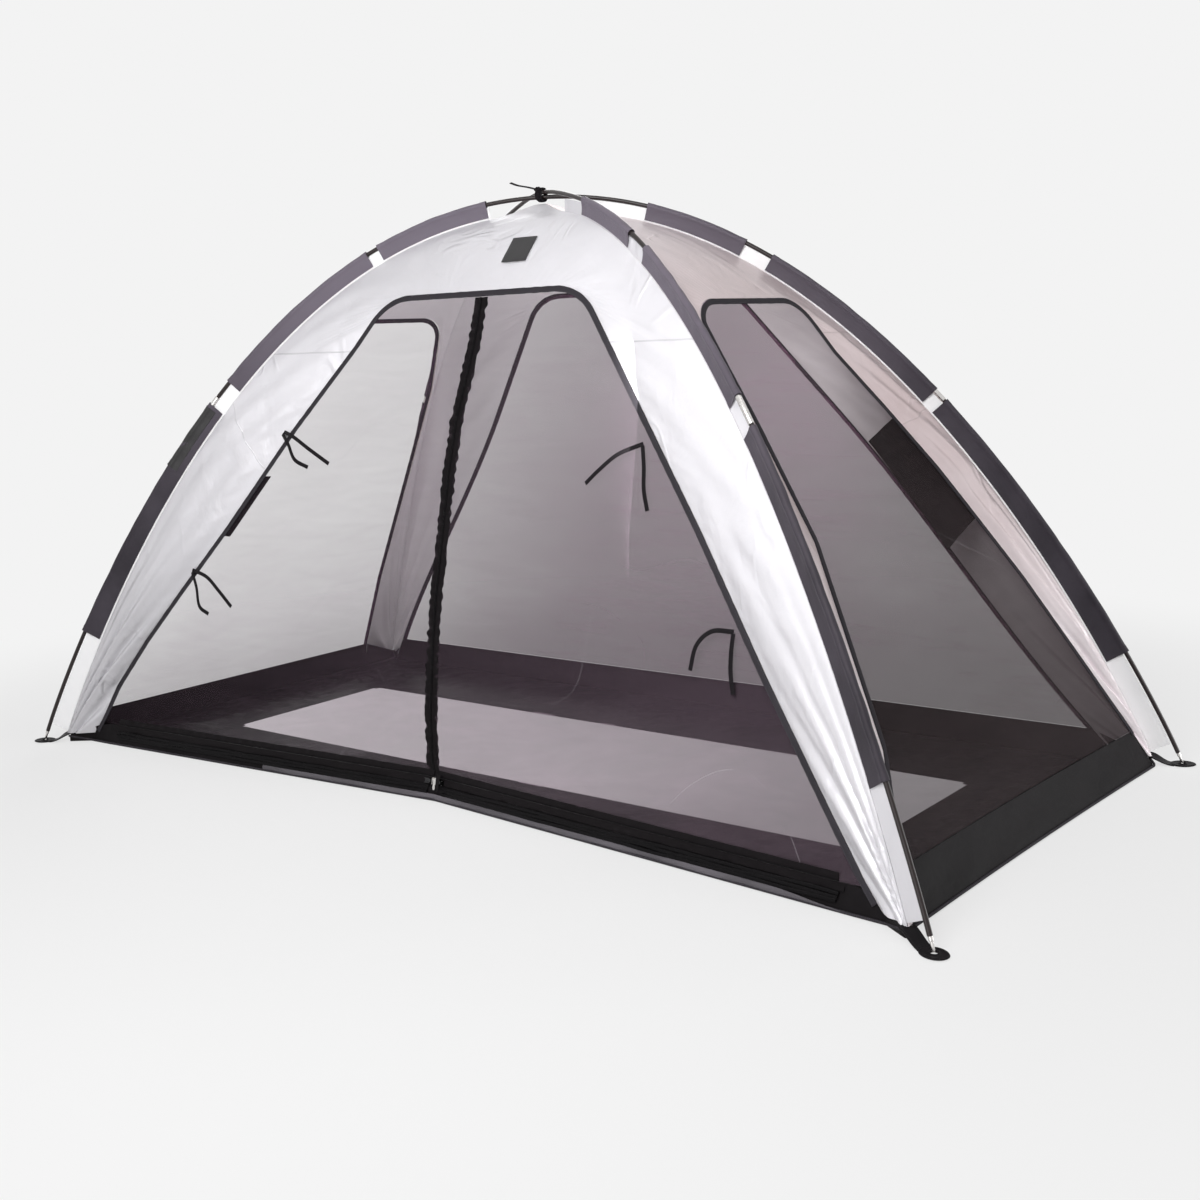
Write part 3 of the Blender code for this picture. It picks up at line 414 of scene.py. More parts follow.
def dark_cloth(name, colour, roughness, pitch, crumple, depth, painted_light=0.0, **constants):
    """Dark woven cloth: weave, crumples and cloudy tone. With painted light it pales higher up,
    most at the front."""
    cloth = Finish(name, colour, roughness, **constants)
    place, spread = cloth.place(), cloth.spread()
    clouds = cloth.noise(place, 9.0, 5.0)
    creases = cloth.noise(place, crumple, 4.0, 0.8)
    shade = cloth.blend(clouds.between(0.25, 0.8), tone(colour, 0.8), tone(colour, 1.45))
    # Painted light: the colour pales above 0.45 m, most at the front.
    if painted_light:
        _, y, z = cloth.parts(place)
        painted_light_share = z.between(0.45, 1.0) * (painted_light - y.between(0.0, 0.25) * 0.45)
        shade = cloth.blend(painted_light_share, shade, tone(colour, 4.3))
    weave = cloth.relief(cloth.weave(spread, pitch), pitch * 0.06, 0.5)
    return cloth.dressed(shade, clouds * 0.18 + (roughness - 0.09),
                         cloth.relief(creases, depth, 0.6, weave))


def ribbed_tape(name, colour, roughness, rib, edge=None):
    """Woven tape: ribs across it, and a row of stitches at the distance that edge gives."""
    tape = Finish(name, colour, roughness, specular_ior_level=0.04)
    place, spread = tape.place(), tape.spread()
    along, across, _ = tape.parts(spread)
    clouds = tape.noise(place, 14.0, 4.0)
    shade = tape.blend(clouds, tone(colour, 0.75), tone(colour, 1.35))
    height = along.wave(rib) * 0.3
    if edge:
        row = across.near(edge, 0.0007)
        dash = along.wave(0.0034).between(-0.5, 0.1)
        shade = tape.blend(row * dash * 0.7, shade, tone(colour, 2.6))
        height = height - row * 1.2
    return tape.dressed(shade, clouds * 0.15 + (roughness - 0.07),
                        tape.relief(height, 0.00025, 0.8))


def mosquito_net(name, thread, cover, across=0.0, down=0.0, least=0.12):
    """Fine net: soft threads two ways, cover that grows across and down as painted shade,
    stretch marks, and a few thin pale creases as painted highlights where a slow noise
    crosses its middle."""
    most = 0.64
    net = Finish(name, thread, 0.8, specular_ior_level=0.15)
    place, spread = net.place(), net.spread()
    x, _, z = net.parts(place)
    clouds = net.noise(place, 2.6, 4.0, 0.7)
    streaks = net.noise(net.scaled(place, (2.0, 2.0, 14.0)), 2.2, 5.0, 1.2)
    creases = net.noise(place, 1.7, 1.5, 0.5).near(0.5, 0.0022) * clouds.between(0.50, 0.66)
    u, v, _ = net.parts(spread)
    threads = u.wave(0.0024) + v.wave(0.0024)
    shade = clouds * 0.5 + streaks * 0.5
    soft = net.blend(shade.between(0.3, 0.7), tone(thread, 0.84), tone(thread, 1.18))
    # Painted highlights: the creases turn pale grey.
    colour = net.blend(creases * 0.35, soft, (0.42, 0.39, 0.42, 1.0))
    # Painted shade: the cover grows with x and downwards, darkening what shows through the net.
    cover = cover + x * across - (z - 0.45) * down
    thick = cover.maths("MAXIMUM", least).maths("MINIMUM", most)
    net.set("Alpha", thick + threads * 0.02 + (streaks - 0.5) * 0.09 + (clouds - 0.5) * 0.10
            + creases * 0.06)
    net.material.surface_render_method = "DITHERED"
    return net.dressed(colour, None, net.relief(streaks, 0.004, 0.5))


def pole_tube(name):
    """Pultruded fibreglass rod: long faint streaks, scuffs and a clear resin coat."""
    rod = Finish(name, (0.020, 0.015, 0.015), 0.34, coat_weight=0.12, coat_roughness=0.10,
                 specular_ior_level=0.25)
    spread = rod.spread()
    streaks = rod.noise(rod.scaled(spread, (6.0, 900.0, 1.0)), 1.0, 4.0)
    scuffs = rod.noise(rod.scaled(spread, (60.0, 300.0, 1.0)), 1.0, 5.0).between(0.62, 0.75)
    colour = rod.blend(streaks, (0.010, 0.007, 0.007, 1), (0.030, 0.020, 0.020, 1))
    return rod.dressed(colour, scuffs * 0.25 + 0.28, rod.relief(streaks, 0.00008, 0.5))


def plated_steel(name, dim, bright):
    """Plated metal: brushed round, dulled in patches, between a dim and a bright tone."""
    metal = Finish(name, bright, 0.24, metallic=1.0)
    place = metal.place()
    dull = metal.noise(place, 180.0, 4.0)
    brushed = metal.noise(metal.scaled(place, (900.0, 900.0, 60.0)), 1.0, 3.0)
    return metal.dressed(metal.blend(dull, (*dim, 1.0), (*bright, 1.0)), dull * 0.2 + 0.16,
                         metal.relief(brushed, 0.00004, 0.4))


def shock_cord(name):
    """Braided elastic: a fine criss-cross of white sheath threads."""
    cord = Finish(name, (0.7, 0.7, 0.7), 0.8)
    braid = cord.weave(cord.place(), 0.0016)
    colour = cord.blend(braid.between(-1.0, 1.0), (0.5, 0.5, 0.52, 1), (0.8, 0.8, 0.8, 1))
    return cord.dressed(colour, None, cord.relief(braid, 0.0001, 0.6))


def make_finishes():
    """Every finish by its short name."""
    long_seams = ((0.795, 0.0, 0.20), (-0.32, 1.75, 0.50))
    end_seams = ((0.795, 0.0, 0.13), (0.52, 0.45, 0.20))
    return {
        "silver_long": silver_cloth("silver_cloth_long_walls", (0.78, 0.765, 0.80), long_seams,
                                    True),
        # The end walls' base is darker and pinker than the long walls' silver: painted shade.
        "silver_end": silver_cloth("silver_cloth_end_walls_painted_shading", (0.785, 0.645, 0.650), end_seams,
                                   False),
        "flange": white_cloth("white_flange_cloth", (0.98, 0.975, 0.98), (0.90, 0.895, 0.91)),
        "lining": white_cloth("wall_inner_side", (0.98, 0.95, 0.97), (0.92, 0.88, 0.91)),
        # The rear wall's inner side goes grey on its right leg: painted shade.
        "painted_shade_lining": white_cloth("rear_wall_inner_side_painted_shade", (0.98, 0.95, 0.97), (0.92, 0.88, 0.91),
                                   (0.56, 0.51, 0.53)),
        # The sleeves' 0.85 is painted light: paler higher up, most at the front.
        "sleeve": dark_cloth("sleeve_cloth", (0.042, 0.0365, 0.045), 0.40, 0.0010, 42.0, 0.0010,
                             0.85, specular_ior_level=0.12),
        "black": dark_cloth("tub_cloth", (0.010, 0.0088, 0.0096), 0.42, 0.0009, 26.0, 0.0026,
                            specular_ior_level=0.03),
        "hem": dark_cloth("hem_strip_cloth", (0.085, 0.078, 0.088), 0.42, 0.0009, 30.0, 0.0016,
                          specular_ior_level=0.3),
        "patch": dark_cloth("bare_patch_cloth", (0.012, 0.011, 0.012), 0.42, 0.0006, 60.0, 0.0003),
        "binding": ribbed_tape("binding_tape_cloth", (0.036, 0.033, 0.038), 0.60, 0.0016, 0.0016),
        "zip": ribbed_tape("zip_tape_cloth", (0.008, 0.0066, 0.0074), 0.36, 0.0012),
        "coil": ribbed_tape("zip_coil_nylon", (0.006, 0.0054, 0.006), 0.28, 0.0011),
        "webbing": ribbed_tape("strap_webbing", (0.011, 0.010, 0.011), 0.38, 0.0018, 0.0025),
        "ribbon": ribbed_tape("tie_ribbon", (0.012, 0.0105, 0.012), 0.5, 0.0010),
        # One net cloth in five colours and covers, as painted light and shade: the pale threads of
        # the left window and the floor are painted light, the right window's near-black threads
        # and the rear net's thick cover painted shade.
        "net": mosquito_net("door_net", (0.063, 0.044, 0.057), 0.36, 0.28, 0.26),
        "left_net": mosquito_net("left_window_net", (0.33, 0.135, 0.29), 0.13, 0.0, 0.40),
        "rear_net": mosquito_net("rear_window_net", (0.190, 0.090, 0.152), 0.68, 0.45, 0.40, 0.25),
        "right_net": mosquito_net("right_window_net", (0.034, 0.024, 0.026), 0.50, 0.0, 0.40),
        "floor_net": mosquito_net("floor_net_cloth", (0.84, 0.64, 0.78), 0.38),
        "pole": pole_tube("fibreglass_pole"),
        "steel": plated_steel("nickel_steel", (0.56, 0.54, 0.53), (0.74, 0.72, 0.70)),
        "dark_zinc": plated_steel("blackened_zinc", (0.030, 0.030, 0.032), (0.070, 0.068, 0.070)),
        "elastic": shock_cord("elastic_shock_cord"),
    }


# Every finish of the new pieces, by its short name
FINISHES = make_finishes()


# Mesh making
def grid_faces(rows, columns, around=False, along=False):
    """Quads of a grid of points, closed across the columns or along the rows if asked."""
    row = np.arange(rows if along else rows - 1)[:, None]
    column = np.arange(columns if around else columns - 1)[None]
    next_row, next_column = (row + 1) % rows, (column + 1) % columns
    return np.stack([row * columns + column, next_row * columns + column,
                     next_row * columns + next_column, row * columns + next_column],
                    -1).reshape(-1, 4)


def enclosed(points, faces):
    """Volume inside the faces: the sum of a . (b x c) / 6 over their triangles."""
    total = 0.0
    for face in faces:
        for second in range(1, face.shape[1] - 1):
            a, b, c = (points[face[:, index]] for index in (0, second, second + 1))
            total += float((a * np.cross(b, c)).sum()) / 6
    return total


def piece(name, points, faces, finish, spread, body="tent", nodes=(), sharp=50):
    """Mesh from points and face arrays, turned outwards, on its body and in its finish."""
    points = np.asarray(points, float).reshape(-1, 3)
    if enclosed(points, faces) < 0:
        faces = [face[:, ::-1] for face in faces]
    mesh = bpy.data.meshes.new(name)
    mesh.from_pydata(points.tolist(), [], [row for face in faces for row in face.tolist()])
    corners = np.empty(len(mesh.loops), int)
    mesh.loops.foreach_get("vertex_index", corners)
    layer = mesh.uv_layers.new(name="cloth")
    layer.data.foreach_set("uv", spread.reshape(-1, 2)[corners].ravel())
    mesh.materials.append(FINISHES[finish])
    mesh.shade_smooth()
    mesh.set_sharp_from_angle(angle=math.radians(sharp))
    made = put(name, mesh)
    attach(made, body)
    if nodes:
        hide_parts(*nodes)
    return made


def measured(grid):
    """Metres along the rows and across the columns at each point of a grid."""
    along = np.linalg.norm(np.diff(grid, axis=0), axis=2)
    across = np.linalg.norm(np.diff(grid, axis=1), axis=2)
    u = np.concatenate([np.zeros((1, grid.shape[1])), np.cumsum(along, 0)])
    v = np.concatenate([np.zeros((grid.shape[0], 1)), np.cumsum(across, 1)], axis=1)
    u = np.broadcast_to(u.mean(1, keepdims=True), v.shape)
    return np.stack([u, v], -1)


def facing(grid, ring=False):
    """Unit normals of a grid: the cross product of its steps along and across."""
    if ring:
        wrapped = np.concatenate([grid[-1:], grid, grid[:1]])
        along = np.gradient(wrapped, axis=0)[1:-1]
    else:
        along = np.gradient(grid, axis=0)
    return unit(np.cross(along, np.gradient(grid, axis=1)) + 1e-12)


def cloth(name, grid, thickness, finish, ring=False, **options):
    """Closed cloth: the grid moved half a thickness each way along its normals, and a rim."""
    grid = np.asarray(grid, float)
    rows, columns = grid.shape[:2]
    push = facing(grid, ring) * np.broadcast_to(thickness, grid.shape[:2])[..., None] / 2
    shift = rows * columns
    upper = grid_faces(rows, columns, along=ring)
    row, column = np.arange(rows), np.arange(columns)
    if ring:
        starts = [row * columns, (row * columns + columns - 1)[::-1]]
    else:
        starts = [np.concatenate([row * columns, (rows - 1) * columns + column[1:],
                                  row[-2::-1] * columns + columns - 1, column[-2:0:-1]])]
    rims = []
    for start in starts:
        after = np.roll(start, -1)
        rims.append(np.stack([after, start, start + shift, after + shift], -1))
    faces = [upper, upper[:, ::-1] + shift, *rims]
    spread = np.concatenate([measured(grid).reshape(-1, 2)] * 2)
    points = np.concatenate([(grid + push).reshape(-1, 3), (grid - push).reshape(-1, 3)])
    return piece(name, points, faces, finish, spread, **options)


def veil(name, grid, finish, size, rests_on, held="stretched", faces=None, **options):
    """Net as one open layer of its grid, so that light passes it once."""
    if faces is None:
        faces = grid_faces(*grid.shape[:2])
    made = piece(name, grid, [faces], finish, measured(grid), **options)
    declare_sheet(made, size, layers=1)


def loft(name, rings, finish, closed=False, **options):
    """Rings joined into a body; its ends are closed on a middle point unless it is a loop."""
    rings = np.asarray(rings, float)
    rows, sides = rings.shape[:2]
    faces = [grid_faces(rows, sides, around=True, along=closed)]
    points, spread = rings.reshape(-1, 3), measured(rings).reshape(-1, 2)
    if not closed:
        count = rows * sides
        side = np.arange(sides)
        beside = (side + 1) % sides
        last = count - sides
        faces.append(np.stack([beside, side, np.full(sides, count)], -1))
        faces.append(np.stack([last + side, last + beside, np.full(sides, count + 1)], -1))
        points = np.concatenate([points, rings[0].mean(0)[None], rings[-1].mean(0)[None]])
        spread = np.concatenate([spread, spread[:1], spread[-1:]])
    return piece(name, points, faces, finish, spread, **options)


def rounded(turn, power):
    """Superellipse of half width and half height 1: cosine and sine to a power, signs kept."""
    return [np.sign(part) * np.abs(part) ** power for part in (np.cos(turn), np.sin(turn))]


def carried(path, upward, section, half_width, half_height):
    """Section of half width and half height 1 carried along a path, with up kept near upward."""
    along = unit(np.gradient(path, axis=0))
    aside = unit(np.cross(along, np.broadcast_to(upward, path.shape)))
    rings = path[:, None]
    halves = half_width, half_height
    for axis, corners, half in zip((aside, np.cross(aside, along)), section, halves):
        sizes = np.broadcast_to(half, len(path))[:, None] * corners
        rings = rings + times(axis[:, None], sizes)
    return rings


def tape_rings(path, normal, width, thickness, sides=12):
    """Rounded tape section carried along a path: a flattened superellipse."""
    section = rounded(circle(sides) + np.pi / sides, 0.6)
    return carried(path, normal, section, width / 2, thickness / 2)


def cord_rings(path, radius, upward, sides):
    """Round section carried along a path."""
    return carried(path, upward, rounded(circle(sides), 1), radius, radius)


def resample(points, spacing):
    """The same path at even steps of about the spacing."""
    length = lengths(points)
    marks = np.linspace(0, length[-1], max(2, int(length[-1] / spacing) + 1))
    return looked_up(marks, length, points)


def smooth_path(points, count):
    """Catmull-Rom curve through a few points."""
    points = np.asarray(points, float)
    ends = np.concatenate([[2 * points[0] - points[1]], points, [2 * points[-1] - points[-2]]])
    place = np.linspace(0, len(points) - 1.000001, count)
    index = place.astype(int)
    t = (place - index)[:, None]
    a, b, c, d = (ends[index + shift] for shift in range(4))
    return 0.5 * (2 * b + (c - a) * t + (2 * a - 5 * b + 4 * c - d) * t ** 2
                  + (3 * b - a - 3 * c + d) * t ** 3)


# Bent poles and the canopy seam under them
def bend(distance, lift=0.0):
    """Height of a pole, FOOT_Z + POLE_RISE (1 - (d / POLE_REACH)^2.05)^0.94 with a lift in the
    middle, and the two parts of its upward normal."""
    share = np.clip(np.abs(distance / POLE_REACH), 0, 1) ** 2.05
    height = FOOT_Z + POLE_RISE * (1 - share) ** 0.94 + lift * bell(distance, 0, 0.10)
    slope = np.gradient(height, distance)
    span = np.hypot(slope, 1)
    return height, -slope / span, 1 / span


def seam_drop(distance):
    """Seam below the pole: 12 mm at the middle, 28 mm at 100 mm out, 44 mm at the foot."""
    return (0.012 + 0.016 * (1 - bell(distance, 0, 0.05))
            + 0.016 * np.abs(distance / POLE_REACH) ** 3)


class Pole:
    """A bent pole in an upright diagonal plane, by distance along its bend."""

    def __init__(self, hand_x, lift):
        self.direction = np.array([hand_x * REACH_X, REACH_Y, 0.0])
        self.side = np.cross(UP, self.direction)
        distance = np.linspace(-POLE_REACH, POLE_REACH, 4801)
        height, lean, rise = bend(distance, lift)
        for part in (lean, rise):
            part[[0, -1]] = part[[1, -2]]
        arc = lengths(np.stack([distance, height], -1))
        self.arc, self.end = arc - arc[-1] / 2, arc[-1] / 2
        self.table = (distance, height, lean, rise)

    def place(self, arc, up, aside):
        """Point beside the pole: up in the bend's plane, aside square to that plane."""
        distance, height, lean, rise = (np.interp(arc, self.arc, row) for row in self.table)
        return (times(self.direction, distance + lean * up) + times(UP, height + rise * up)
                + times(self.side, aside))

    def distance(self, arc):
        return np.interp(arc, self.arc, self.table[0])


POLES = {"pole_a": Pole(1, 0.0), "pole_b": Pole(-1, POLE_LIFT)}
HALVES = {"front_left": ("pole_a", -1), "rear_right": ("pole_a", 1),
          "front_right": ("pole_b", -1), "rear_left": ("pole_b", 1)}


class Ridge:
    """Canopy seam under half a pole, as reach from the middle, height and normal."""

    def __init__(self):
        distance = np.linspace(0, POLE_REACH * 0.9999, 2400)
        height, *normal = bend(distance)
        drop = seam_drop(distance)
        out, level = distance - drop * normal[0], height - drop * normal[1]
        keep = (level > HEM_HEIGHT - 0.004) & (out > 0)
        self.out, self.level = out[keep], level[keep]
        self.drop_and_normal = [row[keep] for row in (drop, *normal)]
        self.end = float(np.interp(HEM_HEIGHT, self.level[::-1], self.out[::-1]))
        self.spots = np.linspace(PEAK_CUT, self.end, 1200)
        self.arc = lengths(np.stack([self.spots, self.height(self.spots)], -1))

    def height(self, out):
        return np.interp(out, self.out, self.level)

    def reach(self, height):
        return np.interp(height, self.level[::-1], self.out[::-1])

    def spot(self, share):
        """Reach of the seam at a share of its length, from the corner up to the peak."""
        return np.interp((1 - share) * self.arc[-1], self.arc, self.spots)

    def above(self, spot):
        """Seam drop and the two parts of the pole's normal at a reach."""
        return [np.interp(spot, self.out, row) for row in self.drop_and_normal]


RIDGE = Ridge()


def fold_reach(height):
    """Distance of the flaps' folds from the middle, from the sill's corners to the top."""
    share = (height - SILL_HEIGHT - ZIP_GAP) / (DOOR_TOP - SILL_HEIGHT - ZIP_GAP)
    return DOOR_HALF_WIDTH * np.clip(1 - share, 0, 1)


def pull(name, height):
    """Pull of uneven tension at a height."""
    marks, values = np.array(PULLS[name]).T / 1000
    return np.interp(height, marks, values)


class Wall:
    """One wall: the leaning plane of its window, the outline, and the curved cloth."""

    def __init__(self, side):
        self.side = side
        self.lateral = np.array(LATERAL[side], float)
        self.outward = np.cross(self.lateral, UP)
        self.is_long = side in ("front", "rear")
        reaches = (REACH_X, REACH_Y) if self.is_long else (REACH_Y, REACH_X)
        self.reach_lateral, self.reach_outward = reaches
        window = LONG_WINDOW if self.is_long else END_WINDOW
        self.base, self.lean, self.half, self.taper, self.top, self.corner = window
        self.normal = unit(self.outward + UP * self.lean)
        self.slant = math.hypot(1, self.taper)
        self.turn = math.atan(self.taper)

    def towards(self, hand, lateral, height):
        """Share of the way across the window to the edge at a hand."""
        return np.clip((1 + hand * lateral / (self.edge(height) + 0.02)) / 2, 0, 1)

    def sway(self, lateral, height):
        """Pull of uneven tension, sideways: the rear window leans right, the right one's edges
        and the left one's rear edge bend along the poles, and the door's fixed net is wider at
        its lower left."""
        if self.side == "rear":
            return -0.055 * step(height, 0.08, 0.65)
        if self.side == "right":
            share = self.towards(-1, lateral, height)
            rear = 0.036 * pull("right_rear", height)
            return mixed(rear, pull("right_front", height), share)
        if self.side == "left":
            return pull("left_rear", height) * self.towards(-1, lateral, height) ** 2
        fold = fold_reach(height)
        share = np.clip((np.abs(lateral) - fold) / (self.edge(height) - fold + 0.004), 0, 1)
        return -share * np.where(lateral < 0, pull("door_left", height),
                                 pull("door_right", height))

    def bulge(self, lateral, height):
        """Pull outwards, at the right window's rear edge alone."""
        if self.side != "right":
            return 0.0 * height
        return 0.030 * pull("right_rear", height) * self.towards(1, lateral, height) ** 2

    def point(self, lateral, height, proud=0.0):
        """Point of the window's plane, moved proud of it along its normal."""
        lateral, height = np.broadcast_arrays(np.asarray(lateral, float), height)
        depth = self.base - self.lean * height + self.bulge(lateral, height)
        lateral = lateral + self.sway(lateral, height)
        return (times(self.lateral, lateral) + times(UP, height) + times(self.outward, depth)
                + times(self.normal, proud))

    def edge(self, height, inset=0.0):
        """Half width of the window below its corners."""
        return self.half - inset * self.slant - self.taper * height

    def rounding(self, inset):
        """Centre and radius of the corner, and the height at which it starts."""
        radius = self.corner - inset
        level = self.top - inset - radius
        centre = self.edge(level, inset) - radius * self.slant
        return centre, level, radius, level + radius * math.sin(self.turn)

    def cloth_depth(self, height, inner, reach, share):
        """Depth at a share of the way from the window's edge, at a height and a reach from the
        middle, to the seam: it eases from the window's plane to the pole's by a power of 1.5."""
        residual = self.base - self.lean * height - self.reach_outward * inner
        return self.reach_outward * reach + residual * (1 - share) ** 1.5

    def half_outline(self, share, inset, low=HEM_HEIGHT):
        """Outline at a share: 0 at the foot, 8/15 at the corner's start, 12/15 at its end."""
        mark = np.asarray(share, float) * 15
        centre, level, radius, tangent = self.rounding(inset)
        height = low + (tangent - low) * np.clip(mark / 8, 0, 1)
        across = self.edge(height, inset)
        turn = self.turn + (math.pi / 2 - self.turn) * np.clip((mark - 8) / 4, 0, 1)
        bent = mark > 8
        across = np.where(bent, centre + radius * np.cos(turn), across)
        height = np.where(bent, level + radius * np.sin(turn), height)
        flat = np.clip((mark - 12) / 3, 0, 1)
        return np.where(mark > 12, mixed(centre, TOP_MIDDLE, flat), across), height

    def outline(self, inset, low):
        """Whole outline from one foot over the top to the other, as lateral and height."""
        across, height = self.half_outline(np.linspace(0, 1, 150), inset, low)
        return np.concatenate([-across, across[::-1]]), np.concatenate([height, height[::-1]])

    def half_width(self, height, inset=0.0):
        """Half width of the window at a height, round its top corner."""
        centre, level, radius, tangent = self.rounding(inset)
        bent = centre + np.sqrt(np.clip(radius ** 2 - (height - level) ** 2, 0, None))
        return np.where(height < tangent, self.edge(height, inset), bent)


WALLS = {side: Wall(side) for side in LATERAL}


def leg_folds(wall, hand, share, level, along):
    """How far a leg's cloth stands out. Folds fan out from its foot: sines of the angle at
    the foot, fading with distance. Slanting folds lie higher up, short puckers cross the
    window's binding, and ripples run all over. Both seams stay still."""
    inside = arch(share) ** 0.7
    calm = 0.4 if wall.side == "front" and hand > 0 else 1.0
    turn = 0.8 if hand > 0 else 2.1
    across = (1 - share) * (0.10 + 0.10 * level)
    reach = np.hypot(across, level)
    angle = np.arctan2(across, level + 0.015)
    phase = 2 * np.pi * (5.2 * angle / (0.35 + angle)) + turn
    crest = np.sin(phase) + 0.35 * np.sin(2 * phase + 0.8)
    spread = (1 - np.exp(-reach / 0.05)) * bell(reach, 0, 0.34)
    fan = (0.0035 + 0.0045 * calm) * crest * spread
    slant = 0.0034 * calm * np.sin(2 * np.pi * (2.0 * share + 8.0 * level) + turn)
    long_fold = 0.0018 * calm * np.sin(2 * np.pi * (2.4 * share - 0.8 * level))
    folds = fan + slant * bell(level, 0.68, 0.15) + long_fold * bell(level, 0.45, 0.22)
    pucker = np.sin(2 * np.pi * along / 0.032 + 3 * np.sin(9 * along))
    seed = {"front": 3, "right": 5, "rear": 7, "left": 11}[wall.side] + (hand > 0)
    loose = 0.0019 * (0.4 + 0.6 * calm) * ripples(share * 0.16, along, seed, 3.0, 11.0)
    return (inside * (folds + loose)
            + 0.0015 * np.exp(-share / 0.16) * pucker * arch(share))


def wall_grid(side):
    """Cloth of a wall. A row joins the window's edge to the ridge seam at the same share; on
    it, reach runs from the ridge at the window's height to the seam's reach, height is the
    ridge's height at that reach, and depth eases from the window's plane by (1 - v)^1.5."""
    wall = WALLS[side]
    share, v = shares(250, 40)
    across, height = wall.half_outline(share, -0.0008)
    out = RIDGE.spot(share)
    inner = RIDGE.reach(height)
    reach = mixed(inner, out, v)
    aside = mixed(across, wall.reach_lateral * out - SEAM_SHIFT, v)
    depth = wall.cloth_depth(height, inner, reach, v)
    level = RIDGE.height(reach)
    fading = (1 - v) ** 1.3
    halves = []
    for hand in (-1, 1):
        push = leg_folds(wall, hand, v, level, share * RIDGE.arc[-1]) * step(1 - share, 0.0, 0.08)
        push = push + fading * wall.bulge(hand * across, height)
        sway = fading * wall.sway(hand * across, height)
        halves.append(np.stack([hand * aside + sway, depth + push, level], -1))
    bridge = mixed(halves[0][-1:], halves[1][-1:], np.linspace(0, 1, 9)[1:-1, None, None])
    whole = np.concatenate([halves[0], bridge, halves[1][::-1]])
    return (whole[..., :1] * wall.lateral + whole[..., 1:2] * wall.outward
            + whole[..., 2:] * UP)


def make_walls():
    """Four silver walls with a lining on their inner side, their window bindings, and the
    flanges under the poles."""
    for side, wall in WALLS.items():
        finish = "silver_long" if wall.is_long else "silver_end"
        grid = wall_grid(side)
        made = cloth(f"{side}_wall_cloth", grid, FABRIC, finish, nodes=[f"{side}_wall"])
        made.data.materials.append(FINISHES["painted_shade_lining" if side == "rear" else "lining"])
        count = (grid.shape[0] - 1) * (grid.shape[1] - 1)
        start = 0 if float((facing(grid) @ wall.normal).mean()) < 0 else count
        index = np.zeros(len(made.data.polygons), int)
        index[start:start + count] = 1
        made.data.polygons.foreach_set("material_index", index)
        declare_sheet(made, (0.62, 1.05) if wall.is_long else (0.62, 0.95))
        make_binding(side)
    for corner, (name, hand) in HALVES.items():
        make_flange(corner, POLES[name], hand)


def declare_sheet(made, size, layers=2):
    """Area of a piece's faces per layer, held between 0.301 and 1 times its rectangle; it is not
    kept.
    """
    area = sum(face.area for face in made.data.polygons) / layers
    area = float(np.clip(area, 0.301 * size[0] * size[1], size[0] * size[1]))


def make_flange(corner, pole, hand):
    """Flange from the seam up to the pole's underside, with a faint wave in its free edge:
    white, but silver at the front right."""
    spots = np.linspace(RIDGE.end - 0.002, 0.10, 260)[:, None]
    v = np.linspace(0, 1, 7)[None]
    drop, lean, rise = RIDGE.above(spots)
    up = (drop - POLE_RADIUS - 0.0015) * v
    aside = 0.0009 * v * ripples(spots, v * 0.02, 31 + hand, 4.0, 18.0)
    direction = pole.direction * hand
    grid = (times(direction, spots + up * lean) + times(UP, RIDGE.height(spots) + up * rise)
            + times(pole.side, aside))
    finish = "silver_long" if corner == "front_right" else "flange"
    cloth(f"flange_{corner}", grid, 0.0010, finish)


def make_binding(side):
    """Rounded tape round the window's edge, over the rims of the wall and the net."""
    wall = WALLS[side]
    low = HEM_HEIGHT + 0.004 if side == "front" else BAND_HEIGHT - 0.004
    lateral, height = wall.outline(BINDING_INSET, low)
    spacing = 0.008
    path = resample(wall.point(lateral, height, FABRIC / 2 + BINDING_PROUD), spacing)
    pucker = 1 + 0.05 * ripples(np.arange(len(path)) * spacing, 0.0, 17, 20, 55)
    rings = tape_rings(path, wall.normal, BINDING * BINDING_SHARE * pucker, BINDING_THICKNESS, 14)
    loft(f"{side}_binding_tape", rings, "binding", nodes=[f"{side}_window_binding"])


# Nets
def billow(x, z, seed):
    """Slack of a net out of its plane, from slow ripples."""
    return 0.0035 * ripples(x, z, seed, 0.9, 3.2)


def net_grid(side, low):
    """Net of a window: rows of height, each as wide as the window there."""
    wall = WALLS[side]
    height = low + (wall.top - NET_INSET - low) * np.linspace(0, 1, 70)[:, None] ** 0.85
    share = np.linspace(-1, 1, 90)[None]
    lateral = share * wall.half_width(height, NET_INSET)
    rim = (1 - share ** 2) * step(height, low, low + 0.15) * step(wall.top - height, 0.0, 0.1)
    return wall.point(lateral, height, billow(lateral, height, 41) * np.sqrt(rim))


def make_nets():
    """Nets of the left, rear and right windows."""
    for side in ("left", "rear", "right"):
        wall = WALLS[side]
        width = 2 * float(wall.half_width(BAND_HEIGHT))
        tall = (wall.top - BAND_HEIGHT) * math.hypot(1, wall.lean)
        veil(f"{side}_window_net", net_grid(side, BAND_HEIGHT + NET_FOOT), f"{side}_net",
             (width, tall), [f"{side}_binding_tape"], nodes=[f"{side}_net"])


